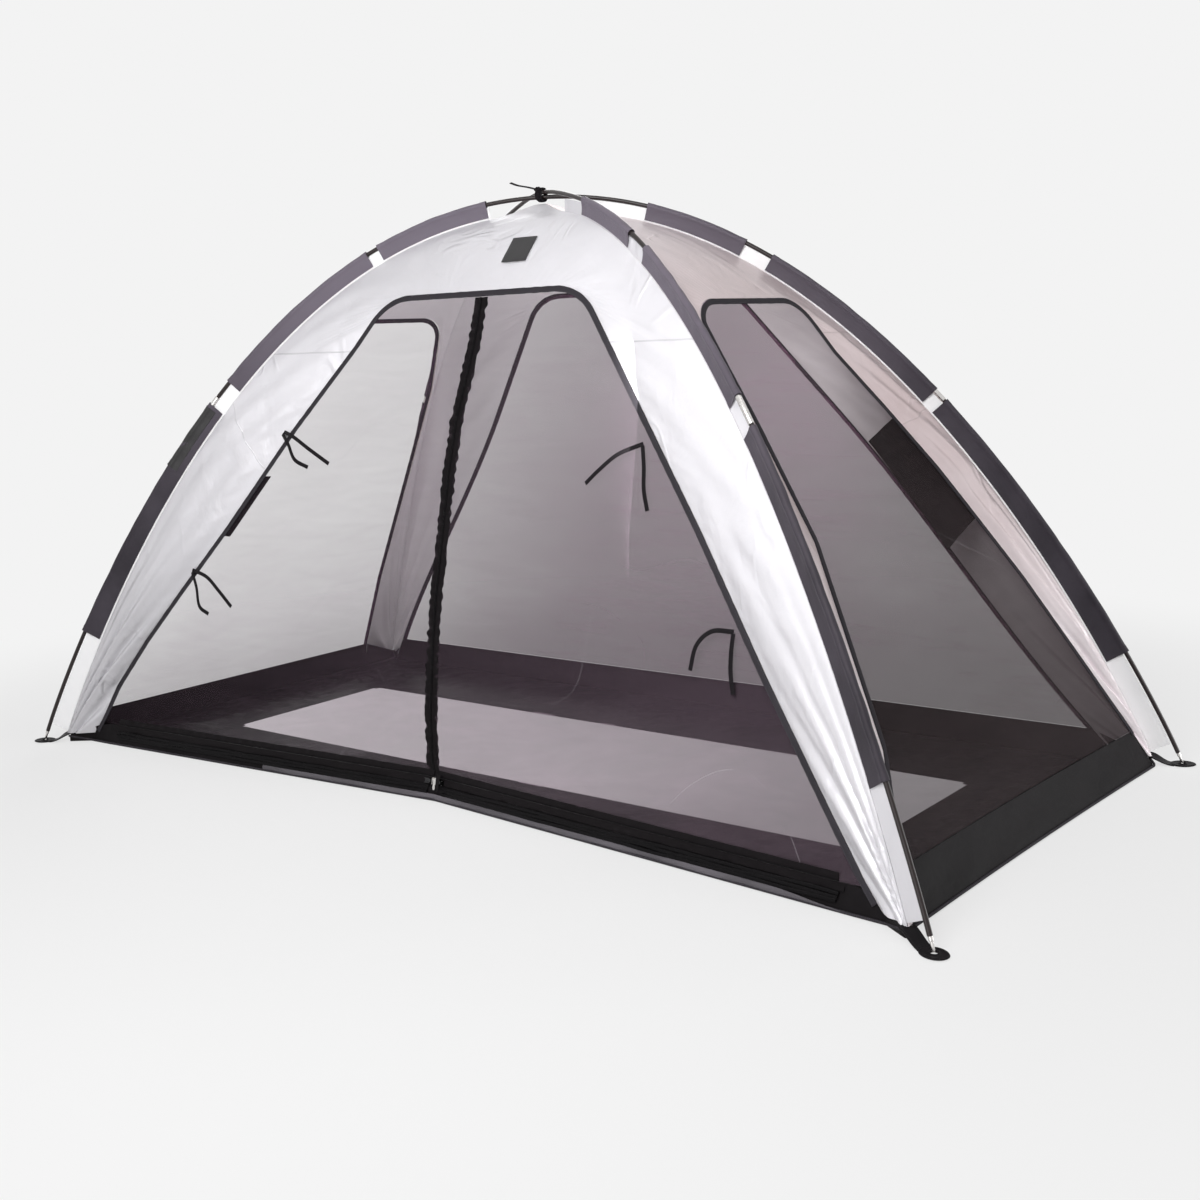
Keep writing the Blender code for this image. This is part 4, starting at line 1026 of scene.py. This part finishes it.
# Door
class Door:
    """Plane of one flap, from the foot of the zip to the corner and to the top."""

    def __init__(self, hand):
        front = WALLS["front"]
        height = SILL_HEIGHT + ZIP_GAP
        self.hand = hand
        self.corner = front.point(hand * DOOR_HALF_WIDTH, height)
        self.top = front.point(0.0, DOOR_TOP)
        self.foot = np.array([0, -DOOR_FOOT_DEPTH, height])
        self.width = float(np.linalg.norm(self.corner - self.foot))
        self.height = float(np.linalg.norm(self.top - self.foot))
        self.aside = unit(self.corner - self.foot)
        self.up = unit(self.top - self.foot)
        normal = unit(np.cross(self.aside, self.up))
        self.normal = -normal if normal[1] > 0 else normal

    def point(self, aside, up, proud):
        return (self.foot + times(self.aside, aside) + times(self.up, up)
                + times(self.normal, proud))


DOORS = {"left": Door(-1), "right": Door(1)}


def zip_line(share, door, aside=0.0, proud=0.0):
    """Point of the upright zip at a share of its height, moved aside and proud of the net. The
    zip hangs to the left of its straight line."""
    return (door.foot + times(door.up, door.height * share)
            + times(ALONG_X, aside - pull("zip", share)) + times(WALLS["front"].normal, proud))


def make_door():
    """Two flaps: straight lines from the zip to the fold, with a slow billow between."""
    wall = WALLS["front"]
    for label, door in DOORS.items():
        share, v = shares(80, 60)
        start = zip_line(share, door)
        fold = door.corner + times(door.top - door.corner, share)
        grid = mixed(start, fold, v[..., None])
        rim = arch(v) * step(share, 0.0, 0.15) * step(1 - share, 0.0, 0.1)
        grid = grid + times(wall.normal, billow(grid[..., 0], grid[..., 2], 43) * rim)
        veil(f"door_{label}_flap", grid, "net", (door.width, door.height),
             ["front_binding_tape"], body=f"door_{label}", nodes=[f"door_{label}_net"])
        make_zip_tape(label, door)
    make_fixed_net()
    make_sill_zip()


def make_fixed_net():
    """Fixed net of the front window, between its outline and the folds of the two flaps."""
    wall = WALLS["front"]
    low = SILL_HEIGHT + NET_FOOT
    rise, share = shares(90, 24)
    height = low + (wall.top - NET_INSET - low) * rise
    start = fold_reach(height)
    lateral = start + share * (wall.half_width(height, NET_INSET) - start)
    whole = np.concatenate([wall.point(-lateral, height)[:, ::-1], wall.point(lateral, height)],
                           axis=1)
    rows, columns = whole.shape[:2]
    faces = grid_faces(rows, columns).reshape(rows - 1, columns - 1, 4)
    seam = columns // 2 - 1
    open_rows = start[1:, 0] > 1e-6
    keep = np.ones((rows - 1, columns - 1), bool)
    keep[open_rows, seam] = False
    veil("front_side_net", whole, "net", (0.9, 0.88), ["front_binding_tape"],
         faces=faces[keep], nodes=["front_fixed_net"])


def make_zip_tape(label, door):
    """Gathered tape up the zip: puckers across it, a scalloped free edge and a row of coil.
    Another tape and coil along the flap's lower edge."""
    hand = door.hand
    share = np.linspace(0.0, 1 + 0.012 / door.height, 640)
    along = share * door.height
    v = np.linspace(0, 1, 9)[None]
    pucker = ripples(along[:, None], v * 0.01, 51 + hand, 30, 70) * 0.0014
    scallop = 0.0012 * ripples(along, 0.0, 61 + hand, 22, 60)
    wide = ZIP_TAPE + 0.0025 + scallop
    aside = hand * (ZIP_GAP + v * wide[:, None])
    proud = 0.0011 + 0.0005 * arch(v) + pucker * v
    grid = zip_line(share[:, None], door, aside, proud)
    cloth(f"zip_tape_{label}_upright", grid, TAPE, "zip", body=f"door_{label}",
          nodes=[f"zip_tape_{label}"])
    coil = zip_line(share[8:], door, hand * 0.0013, 0.0022)
    turns = 1 + 0.22 * np.sin(2 * np.pi * along[8:] / 0.0032)
    loft(f"zip_coil_{label}", cord_rings(coil, COIL_RADIUS * turns, WALLS["front"].normal, 8),
         "coil", body=f"door_{label}")
    far = np.linspace(0.004, door.width - 0.026, 420)
    ruffle = ripples(far[:, None], v * 0.02, 71 + hand, 12, 40) * 0.0010
    low_grid = door.point(far[:, None] + 0 * v, ZIP_GAP + v * ZIP_TAPE,
                          0.0012 + 0.0006 * arch(v) + ruffle * v)
    cloth(f"zip_tape_{label}_level", low_grid, TAPE, "zip", body=f"door_{label}")
    row = door.point(far, 0.0011, 0.0021)
    loft(f"sill_coil_{label}", cord_rings(row, 0.0010, door.normal, 8), "coil",
         body=f"door_{label}")


def lower_tape(door, v):
    """One side of the sill's tape, with a ruffle in its free edge."""
    far = np.linspace(0, SILL_END, 380)[:, None] + 0 * v
    ruffle = ripples(far, v * 0.02, 81 + door.hand, 12, 36) * 0.0008
    return door.point(far, -ZIP_GAP - v * ZIP_TAPE, 0.0013 + ruffle * v)


def joined(halves):
    """Left and right half of a strip, both from the middle outwards, as one."""
    return np.concatenate([halves[0][::-1], halves[1][1:]])


def make_sill_zip():
    """Lower tape of the bottom zips on the sill, three pleats on each side under it, the hem
    strip under those, and the free end of the upright zip's tape."""
    v = np.linspace(0, 1, 7)[None]
    rise = np.linspace(0, 1, 6)[None]
    cloth("sill_zip_lower_tape", joined([lower_tape(door, v) for door in DOORS.values()]), TAPE,
          "zip", nodes=["sill_zip_tape"])
    strips = []
    for label, door in DOORS.items():
        for index, down in enumerate(PLEATS_DOWN):
            far = np.linspace(0.014 + 0.002 * index, 0.860 - 0.002 * index, 260)
            sway = 0.0007 * ripples(far, 0.0, 83 + index + door.hand, 3, 11)
            path = door.point(far, sway - down, 0.0022)
            loft(f"sill_pleat_{label}_{index + 1}",
                 tape_rings(path, door.normal, PLEAT_WIDTH, PLEAT_THICKNESS, 10), "coil")
        far = np.linspace(0, 0.43 if label == "left" else 0.866, 240)[:, None]
        sag = 0.0006 * ripples(far, rise * 0.01, 87 + door.hand, 3, 14)
        narrow = 1 - 0.85 * step(far, 0.74, 0.866) * (door.hand > 0)
        strips.append(door.point(far + 0 * rise, 0.0094 * rise * narrow - 0.0405,
                                 0.0021 + 0.0012 * arch(rise) + sag))
    cloth("sill_hem_strip", joined(strips), PATCH_CLOTH, "hem")
    u, v = shares(14, 8)
    tab = DOORS["right"].point(0.0085 + 0.0105 * v * (1 - 0.35 * u),
                               0.006 - 0.030 * u + 0.004 * v * u,
                               0.0062 + 0.0022 * arch(u) + 0.0012 * v)
    cloth("zip_tape_end_tab", tab, 0.0010, "zip", body="door_right")


# Floor
def corner_heading(hand_x, hand_y):
    """Level direction from the middle to a pole's foot."""
    return np.array([hand_x * REACH_X, hand_y * REACH_Y, 0])


def tub_stations():
    """Foot, top, normal and inner edge at stations round the floor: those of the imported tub, and
    the legs' tips at its corners."""
    rows = []

    def along(side, share, height):
        wall = WALLS[side]
        net = (NET_HALF_X, NET_HALF_Y) if wall.is_long else (NET_HALF_Y, NET_HALF_X)
        base, top = (wall.point(share * (wall.edge(level) - TUB_INSET), level)
                     for level in (0.0, height))
        rows.append((base, top, wall.normal,
                     wall.lateral * share * (net[0] - TUB_LAP) + wall.outward * net[1]))

    def sill(door, share):
        normal = door.normal if share else unit(DOORS["left"].normal + DOORS["right"].normal)
        aside = door.aside * (door.width * share)
        down = door.foot[2] / door.up[2]
        inner = np.array([door.hand * share * (NET_HALF_X - 0.060), -NET_HALF_Y, 0])
        rows.append((door.foot + aside - door.up * down,
                     door.foot + aside - door.up * (ZIP_GAP / door.up[2]), normal, inner))

    def tip(hand_x, hand_y):
        outward = corner_heading(hand_x, hand_y)
        inner = np.array([hand_x * (NET_HALF_X - TUB_LAP), hand_y * (NET_HALF_Y - TUB_LAP), 0])
        rows.append((outward * (RIDGE.end - 0.004) + UP * 0.009,
                     outward * (RIDGE.end - 0.006) + UP * 0.0165, outward, inner))

    along("front", -1, SILL_HEIGHT - 0.006)
    for share in (1, 0.75, 0.5, 0.25):
        sill(DOORS["left"], share)
    for share in (0, 0.25, 0.5, 0.75, 1):
        sill(DOORS["right"], share)
    along("front", 1, SILL_HEIGHT - 0.006)
    for side, count, hands in (("right", 9, (1, -1)), ("rear", 7, (1, 1)), ("left", 3, (-1, 1))):
        tip(*hands)
        for share in np.linspace(-1, 1, count):
            along(side, share, BAND_HEIGHT)
    tip(-1, -1)
    return [np.array(column) for column in zip(*rows)]


def make_floor():
    """Tub of one cloth: a border flat on the ground with low crumples, turned up into a band.
    A net panel in the middle, and piping along the tub's lower edge."""
    base, top, normal, inner = tub_stations()
    loop = [np.concatenate([part, part[:1]]) for part in (base, top, normal, inner)]
    length = lengths(loop[0])
    marks = np.linspace(0, length[-1], 760)[:-1]
    base, top, normal, inner = (looked_up(marks, length, part) for part in loop)
    normal = unit(normal)
    w = np.linspace(0, 1, 26)[None, :, None]
    floor = mixed(inner[:, None], base[:, None], w)
    x, y = floor[..., 0], floor[..., 1]
    calm = arch(w[..., 0]) ** 0.7
    crumple = np.clip(ripples(x, y, 91, 3.0, 10.0), 0, None) * 0.0030
    sharp = np.clip(ripples(x, y, 93, 8.0, 24.0) - 0.2, 0, None) * 0.0022
    ends = 0.5 + 1.2 * step(np.abs(x), 0.62, 0.85)
    floor[..., 2] = 0.0007 + (crumple + sharp) * ends * calm
    floor[..., 2] += 0.010 * bell(x, -0.325, 0.035) * bell(y, -0.226, 0.030) * calm
    t = np.linspace(0, 1, 12)[None, 1:]
    band = mixed(base[:, None], top[:, None], t[..., None])
    rise = arch(t)
    wave = ripples(marks[:, None], t * 0.06, 95, 3.0, 14.0) * 0.0012 * rise
    is_sill = step(-y[:, -1:], 0.30, 0.34) * step(0.86 - np.abs(x[:, -1:]), 0.0, 0.1)
    wave = wave + is_sill * 0.0016 * np.sin(2 * np.pi * 2.5 * t) * rise
    band = band + times(normal[:, None], wave - 0.0004 * rise)
    grid = np.concatenate([floor, band], axis=1)
    made = cloth("floor_tub_cloth", grid, TUB_CLOTH, "black", ring=True, nodes=["floor_tub"])
    declare_sheet(made, (2.05, 1.05))
    u, v = shares(90, 34, -1)
    long_x, long_y = NET_HALF_X + PANEL_LAP, NET_HALF_Y + PANEL_LAP
    x, y = u * long_x + 0 * v, v * long_y + 0 * u
    lift = 0.0006 + np.clip(ripples(x, y, 97, 2.0, 7.0), 0, None) * 0.0012 * (1 - u ** 2)
    veil("floor_net_panel", np.stack([x, y, lift], -1), "floor_net", (2 * long_x, 2 * long_y),
         ["floor_tub_cloth"], "laid", nodes=["floor_net"])
    foot = base + unit(normal * [1, 1, 0]) * 0.0012 + [0, 0, 0.0032]
    loft("hem_piping", cord_rings(foot, PIPING_RADIUS, UP, 8), "binding", closed=True)


# Profile of the end pins: distance from the tube's end and radius
PIN_PROFILE = np.array([(0, 30), (4, 34), (64, 34), (68, 31), (70, 26), (100, 24), (198, 24),
                        (208, 19), (216, 10)]) / 10000

# Section of the eyelet pads: radius and height
PAD_SECTION = np.array([(46, 12), (49, 26), (60, 31), (73, 25), (82, 19), (115, 21), (145, 27),
                        (160, 21), (166, 11), (155, 4), (60, 3), (48, 6)]) / 10000


# Poles, sleeves and fittings
def make_poles():
    """Tubes, ferrules and turned pins along each bend."""
    for name, pole in POLES.items():
        end = pole.end - PIN_LENGTH
        for label, start, stop in (("lower_a", -end, -JOINT_ARC - JOINT_GAP),
                                   ("middle", -JOINT_ARC, JOINT_ARC),
                                   ("lower_b", JOINT_ARC + JOINT_GAP, end)):
            arc = np.linspace(start, stop, int((stop - start) / 0.012))
            loft(f"{name}_{label}_tube", round_rings(pole, arc, POLE_RADIUS), "pole",
                 nodes=[f"{name}_{label}"])
        for label, hand in (("a", -1), ("b", 1)):
            half = FERRULE_LENGTH / 2
            ends = np.array([-half, -half, -half + 0.0008, half - 0.0008, half, half])
            radius = np.array([44, 48, 51, 51, 48, 44]) / 10000
            loft(f"{name}_ferrule_{label}_sleeve",
                 round_rings(pole, hand * (JOINT_ARC + ends), radius), "steel",
                 nodes=[f"{name}_ferrule_{label}"], sharp=30)
            start = pole.end - PIN_LENGTH + JOINT_GAP
            far, radius = PIN_PROFILE.T
            loft(f"{name}_pin_{label}", round_rings(pole, hand * (start + far), radius), "steel",
                 nodes=[f"{name}_end_pin_{label}"], sharp=30)


def round_rings(pole, arc, radius):
    """Circles square to the bend."""
    turn = circle(20)
    radius = np.broadcast_to(radius, len(arc))[:, None]
    return pole.place(arc[:, None] + 0 * turn, radius * np.cos(turn), radius * np.sin(turn))


def sleeve_grid(pole, low, high, seed, grow=0.0):
    """Sleeve cloth over the pole: up one side from the seam, round the pole from -128 to 128
    degrees, and down the other side, with slanting creases and a hem at each end."""
    arc = np.linspace(low, high, max(24, int((high - low) / 0.005)))[:, None]
    drop = seam_drop(pole.distance(arc))
    radius, side = 0.0056 + grow, 0.0018 + grow
    turn = np.radians(np.linspace(-128, 128, 17)) + 0 * arc
    around_up, around_side = radius * np.cos(turn), radius * np.sin(turn)
    t = np.linspace(0, 1, 7)[:-1] + 0 * arc
    flank_up = mixed(0.003 - drop, around_up[:, :1], t)
    flank_side = mixed(side, around_side[:, -1:], t ** 2.2)
    up = np.concatenate([flank_up, around_up, flank_up[:, ::-1]], axis=1)
    aside = np.concatenate([-flank_side, around_side, flank_side[:, ::-1]], axis=1)
    s = np.linspace(-1, 1, up.shape[1])[None]
    slant = arc + 0.9 * s * 0.030
    crease = (0.00042 * ripples(slant, 0 * s, seed, 9, 26)
              + 0.00025 * ripples(arc, s * 0.030, seed + 50, 8, 20)) * (1 - np.abs(s) ** 4)
    ends = np.minimum(arc - low, high - arc)
    hem = 0.0004 * (1 - step(ends, 0.0105, 0.012)) + 0.0004 * (1 - step(ends, 0.0, 0.008))
    round_it = step(up, -0.010, -0.002)
    return pole.place(np.broadcast_to(arc, up.shape),
                      up + (crease * 0.4 + hem) * round_it * up / radius,
                      aside + (crease + hem) * np.sign(s))


def make_sleeves():
    """Three sleeves on each half pole, and a bare label round the front left one."""
    seed = 200
    for corner, (name, hand) in HALVES.items():
        for label, span in zip(("short", "middle", "long"), SLEEVE_SPANS[corner]):
            low, high = sorted(hand * arc / 1000 for arc in span)
            seed += 1
            cloth(f"sleeve_{corner}_{label}_cloth", sleeve_grid(POLES[name], low, high, seed),
                  TAPE, "sleeve", nodes=[f"sleeve_{corner}_{label}"])
    grid = sleeve_grid(POLES["pole_a"], -0.965, -0.815, 301, 0.0010)
    cloth("sleeve_bare_label", grid[:, 3:-2], 0.0007, "patch")


def make_straps():
    """Webbing from each hem corner down to a rounded pad with an eyelet and a raised rim."""
    for corner, hands in CORNERS.items():
        outward = corner_heading(*hands)
        aside = np.cross(UP, outward)
        inner = RIDGE.end - 0.008
        share = np.linspace(0, 1, 24)[:, None]
        v = np.linspace(-1, 1, 9)[None]
        reach = inner + share * (POLE_REACH - 0.0165 - inner)
        level = 0.0011 + (HEM_HEIGHT - 0.0022) * (1 + np.cos(np.pi * share)) / 2
        half = 0.0102 + 0.002 * share ** 3
        facing_door = np.sign(aside @ np.array([0.6, -0.8, 0]))
        tilt = 0.55 * half * v * facing_door * (1 - share)
        curl = (0.0008 * v ** 2 - tilt) * arch(share)
        grid = times(outward, reach + 0 * v) + times(aside, half * v) + times(UP, level + curl)
        cloth(f"strap_{corner}_webbing", grid, WEBBING, "webbing",
              nodes=[f"foot_strap_{corner}"])
        turn = circle(48)[:, None]
        radius, height = PAD_SECTION[None, :, 0] * 1.12, PAD_SECTION[None, :, 1] * 1.25
        longer = 1 + 0.25 * step(radius, 0.0085, 0.016)
        rings = (times(outward, POLE_REACH + radius * longer * np.cos(turn))
                 + times(aside, radius * np.sin(turn)) + times(UP, height + 0 * turn))
        loft(f"eyelet_pad_{corner}", rings, "webbing", closed=True)


def make_apex():
    """Ribbon bound round both poles where they cross, its knot and its free tail."""
    middle = FOOT_Z + POLE_RISE + POLE_LIFT / 2
    turn = circle(64)
    wide, high = 0.0095, POLE_LIFT / 2 + 0.0062
    for index, (tilt, shift) in enumerate(((0.25, -0.0028), (-0.2, 0.0024), (0.05, 0.0))):
        grow = 1 + 0.12 * index
        y, z = (size * grow * part for size, part in zip((wide, high), rounded(turn, 0.8)))
        loop = np.stack([shift + tilt * y, y, middle + z], -1)
        radial = unit(np.stack([0 * y, y / wide, z / high], -1))
        aside = unit(np.cross(unit(np.roll(loop, -1, 0) - np.roll(loop, 1, 0)), radial))
        section = np.array([(-36, -4), (0, -6), (36, -4), (36, 4), (0, 6), (-36, 4)]) / 10000
        rings = (loop[:, None] + aside[:, None] * section[None, :, :1]
                 + radial[:, None] * section[None, :, 1:])
        loft(f"apex_binding_{index + 1}", rings, "ribbon", closed=True,
             nodes=["apex_tie"] if index == 0 else [])
    knot = smooth_path(np.array([(4, -10, 4), (-2, -12.5, 7), (-6, -10.5, 10), (-2, -8, 12),
                                 (3, -10, 10), (0, -13, 6)]) / 1000 + UP * middle, 40)
    loft("apex_knot", cord_rings(knot, 0.0026 + 0.0004 * np.sin(np.arange(40)), UP, 10), "ribbon")
    tail = smooth_path(np.array([(-4, -10, 10), (-22, -13, 15), (-44, -16, 20),
                                 (-60, -18, 26)]) / 1000 + UP * middle, 30)
    rings = tape_rings(tail, np.array([0, -0.4, 1.0]), TAIL_WIDTH, RIBBON)
    loft("apex_tail", rings, "ribbon")


# Points of the tie ribbons in millimetres: lateral, height and proud of the front window's plane
TIE_ROUTES = {
    "upper_left_a": ((-470, 645, 2), (-425, 632, 12), (-370, 610, 18), (-310, 584, 14)),
    "upper_left_b": ((-470, 641, 3), (-440, 618, 10), (-412, 590, 12), (-374, 577, 9)),
    "lower_left_a": ((-684, 368, 2), (-628, 357, 12), (-575, 334, 16), (-532, 306, 12)),
    "lower_left_b": ((-684, 364, 3), (-660, 335, 10), (-636, 300, 11), (-604, 287, 8)),
    "upper_right_a": ((412, 632, 2), (372, 613, 12), (340, 588, 14), (312, 566, 10)),
    "upper_right_b": ((412, 628, 3), (424, 594, 8), (430, 560, 8), (441, 528, 6)),
    "lower_right_a": ((630, 360, 2), (596, 357, 10), (574, 334, 14), (566, 297, 10)),
    "lower_right_b": ((630, 357, 3), (634, 330, 8), (638, 300, 8), (645, 271, 5)),
}


def make_ties():
    """Eight tie ribbons on the front binding, each a curve through its points."""
    wall = WALLS["front"]
    for label, route in TIE_ROUTES.items():
        spots = np.array(route) / 1000
        across = spots[:, 0] - wall.sway(spots[:, 0], spots[:, 1])
        path = smooth_path(wall.point(across, spots[:, 1], spots[:, 2] + 0.002), 36)
        rings = tape_rings(path, wall.normal, TIE_WIDTH, RIBBON)
        loft(f"tie_{label}", rings, "ribbon")


# Wall, hand, lower and upper edge of the pockets, and how far they go inside and past the
# window's edge
POCKETS = (("right", 1, 0.462, 0.652, 0.118, 0.040), ("front", -1, 0.440, 0.560, 0.018, 0.110))


def make_pockets():
    """Two flat pockets inside: each a cloth that bulges inwards, the right one slanted."""
    for side, hand, low, high, inside, behind in POCKETS:
        wall = WALLS[side]
        u, v = shares(26, 22)
        height = low + (high - low) * v
        wider = 0.028 * (1 - v) * (hand > 0)
        start = wall.edge(height) - inside - wider
        lateral = hand * (start + u * (inside + behind))
        height = height - 0.040 * (1 - u) * (hand > 0)
        bulge = arch(u) * arch(0.15 + 0.85 * v) * 0.0045
        sag = 0.0012 * ripples(u * 0.15, v * 0.2, 301, 6, 20) * arch(u)
        grid = wall.point(lateral, height + 0 * u, -0.0055 - bulge - sag)
        cloth(f"pocket_{side}_cloth", grid, FABRIC, "black", nodes=[f"pocket_{side}_wall"])


def make_patch():
    """Bare patch sewn on the top panel: a soft square that follows the cloth."""
    wall = WALLS["front"]
    inner = RIDGE.reach(wall.top)
    shares_up = np.array([0.23, 0.28, 0.33])
    spot = mixed(inner, PEAK_CUT, shares_up)
    depth = wall.cloth_depth(wall.top, inner, spot, shares_up)
    low, centre, high = np.stack([PATCH_X + 0 * spot, -depth, RIDGE.height(spot)], -1)
    up = unit(high - low)
    normal = unit(np.cross(ALONG_X, up))
    u, v = shares(25, 25, -1)
    edge = np.maximum(np.abs(u), np.abs(v))
    rise = 0.0030 + 0.0004 * (1 - edge ** 8) + 0.0002 * ripples(u * 0.03, v * 0.03, 401, 15, 40)
    grid = (centre + times(ALONG_X, u * PATCH_HALF + 0 * v) + times(up, v * PATCH_HALF + 0 * u)
            + times(normal, rise))
    cloth("front_bare_patch", grid, PATCH_CLOTH, "patch", nodes=["front_patch"])


def dress_kept_nodes():
    """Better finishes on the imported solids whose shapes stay."""
    for name, finish in (("zip_slider", "steel"), ("zip_pull", "steel"),
                         ("sill_slider_left", "dark_zinc"), ("sill_slider_right", "dark_zinc"),
                         ("pole_a_shock_cord", "elastic"), ("pole_b_shock_cord", "elastic")):
        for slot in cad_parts[name].material_slots:
            slot.material = FINISHES[finish]


# Stage and light
def make_stage():
    """Pale round floor that turns into the plain backdrop colour far out."""
    turn = circle(64)[:, None]
    radius = np.array([0.001, 1.0, 2.5, 5.0, 10.0, 30.0])[None]
    points = np.stack([radius * np.cos(turn), radius * np.sin(turn), -0.0004 + 0 * radius * turn],
                      -1)
    mesh = bpy.data.meshes.new("studio_floor")
    faces = grid_faces(64, 6, along=True)
    mesh.from_pydata(points.reshape(-1, 3).tolist(), [], faces.tolist())
    paint = Finish("studio_floor_paint", (0.84, 0.84, 0.84), 0.9)
    x, y, _ = paint.parts(paint.place())
    reach = (x * x + y * y).maths("SQRT")
    glow = paint.node("Emission", None, BACKDROP, 1.0)
    share = paint.backdrop_rays() * (reach.between(1.05, 2.2) * 0.30 + 0.70)
    shader = Value(paint, paint.shader.outputs[0])
    mix = paint.node("MixShader", None, share, shader, glow)
    output = paint.tree.nodes["Material Output"]
    paint.tree.links.new(mix.socket, output.inputs[0])
    mesh.materials.append(paint.material)
    floor = put("studio_floor", mesh)


def make_light():
    """Even sky and six soft lamps: a key and a low one in front, weaker ones above, inside and
    at the rear right foot, and a strong one far behind."""
    world = bpy.data.worlds.new("studio")
    bpy.context.scene.world = world
    world.use_nodes = True
    nodes = Nodes(world.node_tree)
    sky = nodes.node("Background", None, (1.0, 1.0, 1.0, 1), SKY_STRENGTH)
    backdrop = nodes.node("Background", None, BACKDROP, 1.0)
    mix = nodes.node("MixShader", None, nodes.backdrop_rays(), sky, backdrop)
    nodes.tree.links.new(mix.socket, nodes.tree.nodes["World Output"].inputs[0])
    for name, place, aim, size, power in LAMPS:
        lamp = bpy.data.lights.new(name, "AREA")
        lamp.size, lamp.energy = size, power
        back = unit(np.array(place) - np.array(aim))
        right = unit(np.cross(UP, back))
        put(name, lamp, (right, np.cross(back, right), back, place)).visible_camera = False


def main():
    for make in (place_camera, make_stage, make_light, make_walls, make_nets, make_door,
                 make_floor, make_poles, make_sleeves, make_straps, make_apex, make_ties,
                 make_pockets, make_patch, dress_kept_nodes):
        make()
    bpy.context.scene.view_settings.view_transform = "Standard"


main()
